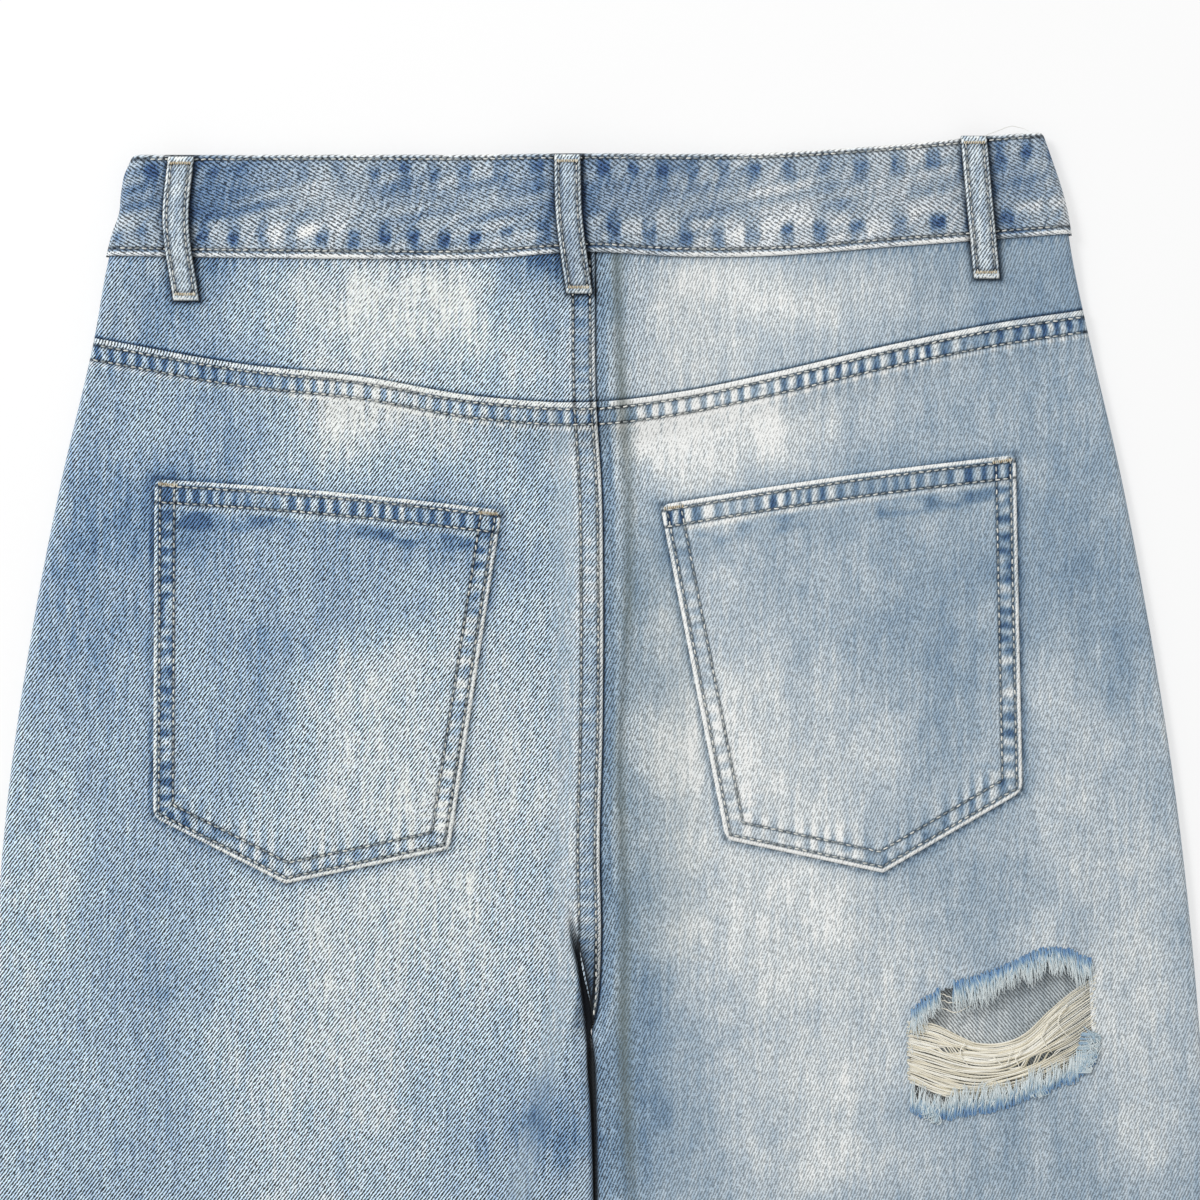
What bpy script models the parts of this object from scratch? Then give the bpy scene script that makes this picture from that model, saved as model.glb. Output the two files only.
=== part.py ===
"""Ripped jeans laid flat on their front: waist towards +Y, back side up, front face down on Z = 0.

All lengths below are millimetres. The wearer's left is -X. Every cloth piece is an open sheet shaped from
a grid and thickened inwards from its face side, the way the garment's pieces are cut and then sewn.
"""

import math

import bmesh
import bpy
import numpy as np
from mathutils import Vector

MM = 0.001

# Cloth and seams
CLOTH = 1.1  # wall of one layer of denim
LAYER_GAP = 0.3  # air between sewn layers
LAYER = CLOTH + LAYER_GAP
SEAM_HALF_GAP = 0.36  # at the face; the thickened edges then come to the layer gap
HEM_CLOTH = 2.2  # turned-up hem, two layers
HEM_DEPTH = 13.0
FELL = 9.5  # lap of a flat-felled seam
FELL_STEP = 5.0  # length over which the upper layer comes down again
YOKE_STEP = 8.0
BODY_HEIGHT = 5.6  # face to face, front to back, where the cloth lies plain
BODY_HEIGHT_IN_BAND = 5.8
SEAM_ALLOWANCE = 9.0  # body edge held inside the waistband

# Fly and closure
FLY_EDGE_X = 4.0
FLY_UNDERLAP = 24.0
FLY_END_Y = -225.0
BUTTON_X = -8.0
BUTTON_HEAD_RADIUS = 8.5
BUTTON_HEAD = 2.2
BUTTON_POST_RADIUS = 2.0
BUTTONHOLE_RADIUS = 3.0
BUTTONHOLE_SIDES = 12
ZIP_TAPE = 0.8
ZIP_WIDTH = 13.0
ZIP_X = -11.0
SLIDER_SIZE = (8.0, 11.0, 1.9)
PULL_SIZE = (5.0, 13.0, 0.8)
PULL_IN_SLIDER = 3.0
ZIP_TOP_BELOW_BAND = 17.0
ZIP_ABOVE_FLY_END = 14.0
PULL_ROOM = 30.0  # below the waistband the fly stays open this far for the slider and its pull

# Belt loops
LOOP_CLOTH = 1.6
LOOP_WIDTH = 11.3
LOOP_BOW = 1.9
FRONT_LOOP_X = 105.0

# How far the front waist stands off the floor over the button and the front loops
LIFT_AT_BUTTON = BUTTON_HEAD + LAYER_GAP
LIFT_AT_LOOP = LOOP_CLOTH + LAYER_GAP
BAND_PLIES = 3 * CLOTH + 2 * LAYER_GAP
OVERLAP_RISE = BAND_PLIES + LAYER_GAP  # right band end over the left one
FLY_RISE = CLOTH + 2 * LAYER_GAP + ZIP_TAPE
STACK_RISE = OVERLAP_RISE + 0.1

# Flat tops of the rises, as half-widths, and the lengths over which they fall away
BUTTON_RISE_REACH = 13.0
BUTTON_RISE_FALL = 50.0
LOOP_RISE_REACH = 18.0
LOOP_RISE_FALL = 38.0
LIFT_FALL_DOWN = 34.0
STACK_FALL_ACROSS = 60.0
STACK_FALL_DOWN = 38.0
STACK_FALL_UP = 60.0
BAND_LEVEL_REACH = 3.0  # the body keeps its level in the waistband this far below the band's edge
BAND_LEVEL_FALL = 25.0
LAP_LEVEL_REACH = 0.6  # a piece riding on a lap keeps its level this far past the lap's edge
FLY_RISE_FALL = 15.4
OVER_LAP_FALL = 4.4

CROTCH_Y = -376.0
HEM_Y = -1080.0

# y: height on the garment, left and right: outer edge of the body at that height
SIDE_EDGE = (
    ("y", "left", "right"),
    (12, -191.0, 191.8),
    (-20, -200.6, 202.2),
    (-42, -206.6, 206.0),
    (-80, -214.4, 214.2),
    (-137, -227.7, 227.3),
    (-189, -238.1, 237.2),
    (-263, -249.6, 249.2),
    (-376, -258.5, 261.0),
    (-560, -263.5, 267.0),
    (-1080, -272.0, 274.0),
)

# Inner fold of each leg below the crotch
LEG_EDGE = (
    ("y", "left", "right"),
    (-376, -1.0, -0.6),
    (-388, -1.8, 1.9),
    (-408, -0.6, 2.4),
    (-447, 0.6, 2.9),
    (-560, -2.5, 6.0),
    (-720, -8.0, 11.5),
    (-1080, -24.0, 26.0),
)

# Folded edge of the left panel where it laps over the right one down the centre back
CENTRE_BACK = (
    ("y", "x"),
    (20, 1.0),
    (-60, 1.2),
    (-104, 1.7),
    (-141, 4.0),
    (-188, 4.7),
    (-241, 4.5),
    (-300, 2.8),
    (-342, 2.7),
    (-362, 1.4),
    (-376, -1.0),
)

# Soft trough that runs beside the centre-back seam and down the right leg
TROUGH = (
    ("y", "x"),
    (20, 10.5),
    (-47, 10.8),
    (-102, 12.9),
    (-150, 15.9),
    (-206, 15.0),
    (-253, 12.2),
    (-322, 14.2),
    (-376, 13.6),
    (-447, 17.0),
    (-560, 20.0),
    (-1080, 42.0),
)

# Waistband edges and yoke seam across the back
BACK_WAIST = (
    ("x", "top", "low", "yoke_seam"),
    (-210, 1.7, -41.6, -77.5),
    (-150, 1.6, -42.6, -88.0),
    (-100, 1.6, -43.2, -93.3),
    (-48, 1.6, -43.2, -102.0),
    (0, 1.9, -40.6, -104.6),
    (38, 2.0, -42.2, -100.0),
    (72, 2.4, -42.0, -93.0),
    (131, 6.0, -37.8, -79.2),
    (175, 10.2, -34.4, -70.3),
    (210, 12.4, -31.8, -65.0),
)

# Lower edge of the waistband across the front, which dips to the fly
FRONT_WAIST = (
    ("x", "low"),
    (-210, -41.6),
    (-150, -50.5),
    (-75, -62.5),
    (0, -67.5),
    (75, -59.0),
    (150, -43.0),
    (210, -31.8),
)
FRONT_BAND_HEIGHT = 43.4

# share: how much of the centre lap is left near the crotch; valley: how far the seam sinks between the legs
CROTCH_LAP = (
    ("y", "share", "valley"),
    (-240, 1.0, 0.0),
    (-300, 1.0, 0.4),
    (-330, 1.0, 1.2),
    (-347, 0.83, 1.7),
    (-360, 0.42, 2.2),
    (-370, 0.0, 2.5),
    (-378, 0.0, 2.65),
)
VALLEY_STARTS_Y = CROTCH_LAP[1][0]
VALLEY_DEEPEST = CROTCH_LAP[-1][2]
FRONT_LAP_END_Y = -330.0

POCKETS = (
    ("name", "corner", "x", "y"),
    ("left", "top_inner", -38.7, -150.7),
    ("left", "top_outer", -187.7, -137.4),
    ("left", "low_inner", -61.1, -296.1),
    ("left", "low_outer", -188.3, -282.3),
    ("left", "tip", -131.6, -310.9),
    ("right", "top_inner", 29.2, -148.5),
    ("right", "top_outer", 181.7, -127.0),
    ("right", "low_inner", 57.3, -291.9),
    ("right", "low_outer", 184.6, -271.3),
    ("right", "tip", 124.7, -306.2),
)
POCKET_MOUTH_BOW = 1.4
POCKET_MOUTH_SLACK = 0.35

BACK_LOOPS = (
    ("name", "x_top", "x_mid", "x_low", "y_top", "y_low"),
    ("left", -176.0, -178.2, -174.0, 0.8, -61.0),
    ("center", -10.6, -9.9, -5.4, 1.2, -58.5),
    ("right", 163.3, 165.5, 169.2, 9.6, -51.6),
)
FRONT_LOOP_BELOW_BAND = 13.0

# Upper and lower edges of the rip on the right leg
RIP = (
    ("x", "upper", "lower"),
    (138.0, -366.0, -397.5),
    (147.5, -359.0, -403.0),
    (160.0, -353.5, -408.0),
    (174.0, -350.0, -405.0),
    (188.0, -343.0, -401.0),
    (200.0, -340.5, -395.5),
    (212.5, -345.0, -388.0),
)
# Upper strand of the bared weft threads, which sags between the sides of the rip
WEFT_TOP = (
    ("x", "y"),
    (138.0, -370.0),
    (156.0, -375.5),
    (176.0, -379.0),
    (196.0, -368.0),
    (213.0, -352.0),
)
WEFT_THREAD = 1.0
WEFT_SAG = 1.0
FRINGE = 1.0
UPPER_FRINGE_REACH = 12.5
LOWER_FRINGE_REACH = 7.0
RIP_CUTTER_MARGIN = 0.9
RIP_RAGGED = 0.5

RIDGE = 0.45
TROUGH_DEPTH = 0.3
TROUGH_WIDTH = 14.0

# Angles round the side fold, from the flat to the seam
FOLD_ANGLES = (0.0, 38.0, 72.0, 90.0)
PANEL_FRACTIONS = (0.13, 0.28, 0.44, 0.6, 0.76, 0.9)


def columns_of(table, key, value):
    names = table[0]
    k = names.index(key)
    v = names.index(value)
    return [(row[k], row[v]) for row in table[1:]]


def through(points):
    """A smooth function through (t, value) points, straight beyond both ends."""
    points = sorted(points)
    t = np.array([p[0] for p in points], float)
    v = np.array([p[1] for p in points], float)
    slope = np.gradient(v, t)

    def value(at):
        if at <= t[0]:
            return v[0] + slope[0] * (at - t[0])
        if at >= t[-1]:
            return v[-1] + slope[-1] * (at - t[-1])
        k = int(np.searchsorted(t, at, side="right")) - 1
        width = t[k + 1] - t[k]
        s = (at - t[k]) / width
        return (
            (1 + 2 * s) * (1 - s) ** 2 * v[k]
            + s * (1 - s) ** 2 * width * slope[k]
            + s * s * (3 - 2 * s) * v[k + 1]
            + s * s * (s - 1) * width * slope[k + 1]
        )

    return value


def mix(a, b, share):
    return a + (b - a) * share


def ease(share):
    share = min(max(share, 0.0), 1.0)
    return share * share * (3 - 2 * share)


def fades(distance, width):
    """1 up to distance 0, then down to 0 over the width."""
    return 1 - ease(distance / width)


side_edge = {
    -1: through(columns_of(SIDE_EDGE, "y", "left")),
    1: through(columns_of(SIDE_EDGE, "y", "right")),
}
leg_edge = {
    -1: through(columns_of(LEG_EDGE, "y", "left")),
    1: through(columns_of(LEG_EDGE, "y", "right")),
}
centre_back = through(columns_of(CENTRE_BACK, "y", "x"))
trough = through(columns_of(TROUGH, "y", "x"))
back_top = through(columns_of(BACK_WAIST, "x", "top"))
back_low = through(columns_of(BACK_WAIST, "x", "low"))
yoke_seam = through(columns_of(BACK_WAIST, "x", "yoke_seam"))
front_low = through(columns_of(FRONT_WAIST, "x", "low"))
lap_share = through(columns_of(CROTCH_LAP, "y", "share"))
valley_depth = through(columns_of(CROTCH_LAP, "y", "valley"))
rip_upper = through(columns_of(RIP, "x", "upper"))
rip_lower = through(columns_of(RIP, "x", "lower"))
weft_top = through(columns_of(WEFT_TOP, "x", "y"))


def leg_turn(y):
    """0 while the panels meet at the centre seam, 1 once each leg is a tube of its own."""
    return ease((CROTCH_Y + 8 - y) / 14)


def share_at(y):
    """Share of the centre lap's width that is left at this height."""
    return min(max(lap_share(y), 0.0), 1.0)


def depth_at(y):
    """How far the centre seam has sunk between the legs at this height."""
    if y >= VALLEY_STARTS_Y:
        return 0.0
    return min(max(valley_depth(y), 0.0), VALLEY_DEEPEST)


def floor_lift(x, y):
    """How far the button and the front loops hold the front off the floor."""
    at_button = LIFT_AT_BUTTON * fades(abs(x - BUTTON_X) - BUTTON_RISE_REACH, BUTTON_RISE_FALL)
    at_loop = LIFT_AT_LOOP * fades(abs(abs(x) - FRONT_LOOP_X) - LOOP_RISE_REACH, LOOP_RISE_FALL)
    return max(at_button, at_loop) * fades(front_low(x) - PULL_ROOM - y, LIFT_FALL_DOWN)


def front_face(x, y):
    """Height of the front's face, which looks down."""
    in_band = fades(front_low(x) - BAND_LEVEL_REACH - y, BAND_LEVEL_FALL)
    return floor_lift(x, y) + LAYER * in_band


def stack_rise(x, y):
    """Lift of the back over the lapped waistband ends."""
    left = FLY_EDGE_X - FLY_UNDERLAP
    beyond = max(left - 2 - x, x - FLY_EDGE_X - 2, 0.0)
    across = max(1 - beyond / STACK_FALL_ACROSS, 0.0)
    down = fades(front_low(0) - PULL_ROOM - y, STACK_FALL_DOWN)
    up = fades(y - front_low(0) - FRONT_BAND_HEIGHT, STACK_FALL_UP)
    return STACK_RISE * across * down * up


def soft_folds(x, y):
    """The ridge and the trough that run beside the centre back and on down the right leg."""
    start = mix(centre_back(max(y, CROTCH_Y)), leg_edge[1](y), leg_turn(y)) + 5
    end = trough(y)
    if x <= start or x >= end + TROUGH_WIDTH:
        return 0.0
    if x < end:
        share = (x - start) / (end - start)
        return RIDGE * math.sin(math.pi * share) - TROUGH_DEPTH * ease(share)
    return -TROUGH_DEPTH * fades(x - end, TROUGH_WIDTH)


def back_face(x, y):
    """Height of the back's face, which looks up, before any lap is added."""
    in_band = fades(back_low(x) - BAND_LEVEL_REACH - y, BAND_LEVEL_FALL)
    height = mix(BODY_HEIGHT, BODY_HEIGHT_IN_BAND + LAYER, in_band)
    return height + floor_lift(x, y) + stack_rise(x, y) + soft_folds(x, y)


def centre_lap(x, y):
    """1 where the left piece rides on the right one at the centre back, 0 beyond the lap."""
    inside = centre_back(y) - FELL - 1 - x
    return 1 - min(max(inside / FELL_STEP, 0.0), 1.0)


def over_left_yoke(x, y):
    """1 where the right back panel also rides on the left yoke's lap."""
    return 1 - min(max((x - centre_back(y) - LAP_LEVEL_REACH) / OVER_LAP_FALL, 0.0), 1.0)


def yoke_lap(x, y):
    """1 where a back panel rides on its yoke, 0 below the lap."""
    below = yoke_seam(x) - FELL - 1 - y
    return 1 - min(max(below / YOKE_STEP, 0.0), 1.0)


def ring_radius(side, y):
    edge = side_edge[side](y)
    top = back_face(edge, y)
    bottom = front_face(edge, y)
    return edge, (top - bottom) / 2, (top + bottom) / 2


def seam_gap_at(y):
    """Half the gap of the side seam and inseam, wider where the cloth is thicker or the turn is slack."""
    at_hem = fades(y - HEM_Y - HEM_DEPTH - 2, 4)
    at_crotch = fades(abs(y - CROTCH_Y + 6) - 10, 20)
    return SEAM_HALF_GAP + 0.2 * max(at_hem, at_crotch)


def round_side(side, y, angle, off, facing, seam_gap=None):
    """A point on the side fold, off the body's face by off. facing is 1 on the back, -1 on the front."""
    edge, radius, middle = ring_radius(side, y)
    if seam_gap is None:
        seam_gap = seam_gap_at(y)
    turn = math.radians(angle)
    x = edge - side * radius + side * (radius + off) * math.sin(turn)
    z = middle + facing * (seam_gap + (radius + off - seam_gap) * math.cos(turn))
    return x, z


def settle(column, row):
    """The point where a column x(y) and a row y(x) cross."""
    y = row(0.0)
    x = column(y)
    for _ in range(12):
        y = row(x)
        x = column(y)
    return x, y


# Each column of a panel is a dictionary with its x as a function of y, and its angle where it is on a fold.

def inner_fold(side):
    """How a leg's inner edge turns to the inseam: the width of the turn and the height of the seam."""

    def turn(y):
        _, radius, middle = ring_radius(side, y)
        return mix(radius, 5.0, fades(CROTCH_Y - y, 45)), middle

    return turn


def panel_columns(side, inner_offsets, side_angles=FOLD_ANGLES):
    """Columns from the inner edge out to the side seam."""
    columns = [{"offset": offset} for offset in inner_offsets]
    last = inner_offsets[-1]
    columns += [{"share": share, "from": last} for share in PANEL_FRACTIONS]
    columns += [{"angle": angle} for angle in side_angles]
    return columns


def column_x(side, column, edge_x, y):
    if "offset" in column:
        return edge_x(y, column["offset"])
    if "share" in column:
        start = edge_x(y, column["from"])
        edge, radius, _ = ring_radius(side, y)
        return mix(start, edge - side * radius, column["share"])
    edge, radius, _ = ring_radius(side, y)
    return edge - side * radius * (1 - math.sin(math.radians(column["angle"])))


LEFT_BACK_OFFSETS = (0.0, 3.0, FELL + 1, FELL + 3.5, FELL + 1 + FELL_STEP)
RIGHT_BACK_OFFSETS = (-FELL, 0.6, 2.4, 5.0, "crest", "trough", "beyond")
LEFT_BACK_ANGLES = (90.0, 72.0, 44.0, 20.0, 0.0)
RIGHT_BACK_ANGLES = (90.0, 72.0, 38.0, 0.0)
LEFT_VALLEY = (1.0, 1.0, 1.0, 0.35, 0.0)
RIGHT_VALLEY = (1.0, 1.0, 0.4, 0.0)
LAP_LEVELS_AT_CROTCH = (1.0, 1.0, 1.0, 0.5, 0.0)


def left_back_x(y, offset):
    share = max(share_at(y), 0.12)
    lap = min(offset, FELL + 1)
    return centre_back(max(y, CROTCH_Y)) - lap * share - (offset - lap)


def right_back_x(y, offset):
    share = share_at(y)
    edge = centre_back(max(y, CROTCH_Y))
    if offset == "crest":
        return mix(mix(edge, leg_edge[1](y), leg_turn(y)) + 5.0, trough(y), 0.5)
    if offset == "trough":
        return trough(y)
    if offset == "beyond":
        return trough(y) + TROUGH_WIDTH
    if offset < 0:
        return edge + mix(0.4, offset, share)
    return edge + 0.4 * (1 - share) + offset


def leg_inner_x(side, y, angle):
    width = inner_fold(side)(y)[0]
    return leg_edge[side](y) + side * width * (1 - math.sin(math.radians(angle)))


def back_panel_point(side, columns, j, row):
    edge_x = left_back_x if side < 0 else right_back_x
    angles = LEFT_BACK_ANGLES if side < 0 else RIGHT_BACK_ANGLES
    valley = LEFT_VALLEY if side < 0 else RIGHT_VALLEY
    column = columns[j]

    def whole_x(y):
        above = column_x(side, column, edge_x, y)
        turn = leg_turn(y)
        if j < len(angles):
            return mix(above, leg_inner_x(side, y, angles[j]), turn)
        if side < 0 and "share" in column:
            edge, radius, _ = ring_radius(side, y)
            below = mix(leg_inner_x(side, y, 0.0), edge - side * radius, column["share"])
            return mix(above, below, turn)
        return above

    x, y = settle(whole_x, row)
    turn = leg_turn(y)
    seam = yoke_lap(x, y)
    if side < 0:
        if y > CROTCH_Y + 30:
            lap = centre_lap(x, y)
        else:
            lap = LAP_LEVELS_AT_CROTCH[min(j, len(LAP_LEVELS_AT_CROTCH) - 1)]
        lap *= 1 - ease((CROTCH_Y + 6 - y) / 8)
        level = lap + seam + lap * seam
    else:
        level = seam * (1 + over_left_yoke(x, y))
    if "angle" in column:
        x, z = round_side(side, y, column["angle"], LAYER * level, 1)
        return x, y, z
    z = back_face(x, y) + LAYER * level
    if j < len(valley):
        z -= depth_at(y) * valley[j]
        _, middle = inner_fold(side)(y)
        low = middle + seam_gap_at(y)
        turned = low + (back_face(x, y) - low) * math.cos(math.radians(angles[j]))
        z = mix(z, turned, turn)
    return x, y, z


def yoke_point(side, columns, j, row):
    edge_x = left_back_x if side < 0 else right_back_x
    column = columns[j]
    x, y = settle(lambda at: column_x(side, column, edge_x, at), row)
    level = centre_lap(x, y) if side < 0 else 0.0
    if "angle" in column:
        x, z = round_side(side, y, column["angle"], 0.0, 1)
        return x, y, z
    return x, y, back_face(x, y) + LAYER * level


# Front panels: the left one is outermost, so it lies on the floor and the right one rides on it

LEFT_FRONT_OFFSETS = (0.0, 8.0, FLY_UNDERLAP + 4, FLY_UNDERLAP + 12)
RIGHT_FRONT_OFFSETS = (-1.0, -0.4, 0.6, 8.0, 16.0)
RIGHT_FRONT_ANGLES = (90.0, 72.0, 46.0, 22.0, 0.0)
LEFT_FRONT_ANGLES = (90.0, 72.0, 38.0, 0.0)


def front_lap_width(y):
    if y > FLY_END_Y:
        return FLY_UNDERLAP
    if y > FRONT_LAP_END_Y:
        return mix(FLY_UNDERLAP, FELL, ease((FLY_END_Y - y) / 15))
    return mix(FELL, -0.4, min((FRONT_LAP_END_Y - y) / 8, 1.0))


def front_centre(y):
    """The fly's edge above, the crotch point below."""
    return mix(FLY_EDGE_X, -1.0, ease((-300 - y) / 76))


def left_front_x(y, offset):
    narrow = mix(1.0, 0.2, ease((-300 - y) / 60))
    return front_centre(y) - offset * narrow


def right_front_x(y, offset):
    lap = front_lap_width(y)
    centre = front_centre(y)
    if offset == -1.0:
        return centre - lap
    if offset == -0.4:
        return centre - lap * 0.4 + (0.3 if lap < 0 else 0.0)
    if lap < 4:
        narrow = mix(0.35, 1.0, max(lap, 0.0) / 4)
        return centre + 0.8 + offset * narrow
    return centre + offset


def front_rise(x, y):
    """How far the right front rides up over the left one, the zip between them."""
    low = front_low(x)
    fly = mix(FLY_RISE, OVERLAP_RISE, fades(low - PULL_ROOM - y, 22))
    rise = mix(fly, LAYER, ease((FLY_END_Y + 4 - y) / 18))
    rise *= 1 - ease((FRONT_LAP_END_Y - 9 - y) / 9)
    centre = front_centre(y)
    return rise * (1 - min(max((x - centre - LAP_LEVEL_REACH) / FLY_RISE_FALL, 0.0), 1.0))


def front_point(side, columns, j, row):
    angles = LEFT_FRONT_ANGLES if side < 0 else RIGHT_FRONT_ANGLES
    edge_x = left_front_x if side < 0 else right_front_x
    column = columns[j]

    def whole_x(y):
        above = column_x(side, column, edge_x, y)
        turn = leg_turn(y)
        if j < len(angles):
            return mix(above, leg_inner_x(side, y, angles[j]), turn)
        if "share" in column:
            edge, radius, _ = ring_radius(side, y)
            below = mix(leg_inner_x(side, y, 0.0), edge - side * radius, column["share"])
            return mix(above, below, turn)
        return above

    x, y = settle(whole_x, row)
    if "angle" in column:
        x, z = round_side(side, y, column["angle"], 0.0, -1)
        return x, y, z
    z = front_face(x, y)
    if side > 0:
        z += front_rise(x, y)
    if j < len(angles):
        _, middle = inner_fold(side)(y)
        low = middle - seam_gap_at(y)
        turned = low - (low - front_face(x, y)) * math.cos(math.radians(angles[j]))
        z = mix(z, turned, leg_turn(y))
    return x, y, z


# Waistband: one folded strip from the left end at the fly, round the back, to the right end at the fly

BAND_FOLD_RADIUS = (2 * LAYER + CLOTH) / 2
BAND_OUTER = LAYER
BAND_INNER = -LAYER - CLOTH
BAND_FOLD_ANGLES = (0.0, 50.0, 90.0, 130.0, 180.0)
BAND_OUTER_ROWS = 4
OVER_ENDS = 38.0  # height on the band where its rise over the centre-back lap ends


def band_rows(height):
    """Height above the lower edge and distance off the body's face, for each row across the strip."""
    straight = height - BAND_FOLD_RADIUS
    centre = (BAND_OUTER + BAND_INNER) / 2
    rows = [(0.0, BAND_OUTER), (SEAM_ALLOWANCE + 1, BAND_OUTER), (0.55 * straight, BAND_OUTER)]
    for angle in BAND_FOLD_ANGLES:
        turn = math.radians(angle)
        height_there = straight + BAND_FOLD_RADIUS * math.sin(turn)
        rows.append((height_there, centre + BAND_FOLD_RADIUS * math.cos(turn)))
    rows += [(0.55 * straight, BAND_INNER), (SEAM_ALLOWANCE + 1, BAND_INNER), (0.0, BAND_INNER)]
    return rows


BAND_ROW_COUNT = len(band_rows(FRONT_BAND_HEIGHT))


def band_stations():
    """Along the strip: on the front or the back, the side of the garment, and the column there."""
    left_front = panel_columns(-1, LEFT_FRONT_OFFSETS)
    left_back = panel_columns(-1, LEFT_BACK_OFFSETS)
    right_back = panel_columns(1, RIGHT_BACK_OFFSETS[1:])
    right_front = panel_columns(1, RIGHT_FRONT_OFFSETS)
    stations = [("front", -1, column) for column in left_front]
    stations += [("back", -1, column) for column in reversed(left_back[:-1])]
    stations += [("back", 1, column) for column in right_back]
    stations += [("front", 1, column) for column in reversed(right_front[:-1])]
    return stations


def band_point(stations, j, i):
    where, side, column = stations[j]
    if where == "back":
        edge_x = left_back_x if side < 0 else right_back_x
    else:
        edge_x = left_front_x if side < 0 else right_front_x

    def column_at(y):
        return column_x(side, column, edge_x, y)

    def low_at(x):
        return back_low(x) if where == "back" else front_low(x)

    def height_at(x):
        if where == "back":
            return back_top(x) - back_low(x)
        edge = side_edge[side](0.0)
        near_side = ease((abs(x) - 120) / (abs(edge) - 125))
        return mix(FRONT_BAND_HEIGHT, back_top(x) - back_low(x), near_side)

    x, y = settle(column_at, lambda at: low_at(at) + band_rows(height_at(at))[i][0])
    rise, off = band_rows(height_at(x))[i]
    if "angle" in column:
        facing = 1 if where == "back" else -1
        x, z = round_side(side, y, column["angle"], off, facing, 0.0)
        return x, y, z
    if where == "back":
        lap = centre_lap(x, y) * (1 if side < 0 else over_left_yoke(x, y))
        over = 0.0
        if i < BAND_OUTER_ROWS:
            over = lap * min(max((OVER_ENDS - rise) / (OVER_ENDS - 1 - SEAM_ALLOWANCE), 0.0), 1.0)
        return x, y, back_face(x, y) + off + LAYER * over
    z = front_face(x, y) - off
    if side > 0:
        beyond = (x - FLY_EDGE_X - LAP_LEVEL_REACH) / FLY_RISE_FALL
        z += OVERLAP_RISE * (1 - min(max(beyond, 0.0), 1.0))
    return x, y, z


# Building blocks

part_collection = None
cutter_collection = None


def start_scene():
    global part_collection, cutter_collection
    for obj in list(bpy.data.objects):
        bpy.data.objects.remove(obj, do_unlink=True)
    part_collection = bpy.data.collections.new("ripped_jeans")
    cutter_collection = bpy.data.collections.new("cutters")
    bpy.context.scene.collection.children.link(part_collection)
    bpy.context.scene.collection.children.link(cutter_collection)


def material(name, color, roughness, metallic=0.0):
    made = bpy.data.materials.new(name)
    made.use_nodes = True
    shader = made.node_tree.nodes["Principled BSDF"]
    shader.inputs["Base Color"].default_value = (*color, 1.0)
    shader.inputs["Roughness"].default_value = roughness
    shader.inputs["Metallic"].default_value = metallic
    return made


def add_object(name, mesh, surface, cutter=False):
    obj = bpy.data.objects.new(name, mesh)
    (cutter_collection if cutter else part_collection).objects.link(obj)
    if surface:
        mesh.materials.append(surface)
    if cutter:
        obj.hide_render = True
        obj.display_type = "WIRE"
    return obj


def sheet(name, column_count, row_count, place, surface, cloth=CLOTH, faces_down=False, hem_rows=0):
    """An open grid whose vertices place(j, i) moves, thickened inwards from its face side."""
    build = bmesh.new()
    bmesh.ops.create_grid(build, x_segments=column_count - 1, y_segments=row_count - 1, size=1.0)
    hem = []
    build.verts.index_update()
    for vertex in build.verts:
        j = round((vertex.co.x + 1) / 2 * (column_count - 1))
        i = round((vertex.co.y + 1) / 2 * (row_count - 1))
        vertex.co = Vector(place(j, i)) * MM
        if i < hem_rows:
            hem.append(vertex.index)
    if faces_down:
        bmesh.ops.reverse_faces(build, faces=build.faces[:])
    mesh = bpy.data.meshes.new(name)
    build.to_mesh(mesh)
    build.free()
    mesh.shade_smooth()
    mesh.set_sharp_from_angle(angle=math.radians(50))
    obj = add_object(name, mesh, surface)
    solid = obj.modifiers.new("cloth thickness", "SOLIDIFY")
    solid.thickness = cloth * MM
    solid.offset = -1
    solid.use_even_offset = False
    solid.use_quality_normals = True
    if hem_rows:
        group = obj.vertex_groups.new(name="hem")
        group.add(range(column_count * row_count), cloth / HEM_CLOTH, "REPLACE")
        group.add(hem, 1.0, "REPLACE")
        solid.thickness = HEM_CLOTH * MM
        solid.vertex_group = "hem"
        solid.thickness_vertex_group = 0.0
    return obj


def outline_cutter(name, points, low, high):
    """A closed flat outline drawn as a curve and raised from low to high."""
    curve = bpy.data.curves.new(name, "CURVE")
    curve.dimensions = "2D"
    curve.fill_mode = "BOTH"
    curve.extrude = (high - low) / 2 * MM
    spline = curve.splines.new("POLY")
    spline.points.add(len(points) - 1)
    for point, (x, y) in zip(spline.points, points):
        point.co = (x * MM, y * MM, 0, 1)
    spline.use_cyclic_u = True
    drawn = bpy.data.objects.new(name + "_curve", curve)
    cutter_collection.objects.link(drawn)
    drawn.location.z = (low + high) / 2 * MM
    bpy.context.view_layer.update()
    graph = bpy.context.evaluated_depsgraph_get()
    mesh = bpy.data.meshes.new_from_object(drawn.evaluated_get(graph))
    build = bmesh.new()
    build.from_mesh(mesh)
    bmesh.ops.remove_doubles(build, verts=build.verts[:], dist=1e-6)
    bmesh.ops.recalc_face_normals(build, faces=build.faces[:])
    build.to_mesh(mesh)
    build.free()
    cutter = add_object(name, mesh, None, cutter=True)
    cutter.matrix_world = drawn.matrix_world
    bpy.data.objects.remove(drawn, do_unlink=True)
    return cutter


def cut(obj, cutter):
    boolean = obj.modifiers.new(cutter.name, "BOOLEAN")
    boolean.operation = "DIFFERENCE"
    boolean.object = cutter
    boolean.solver = "EXACT"


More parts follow.
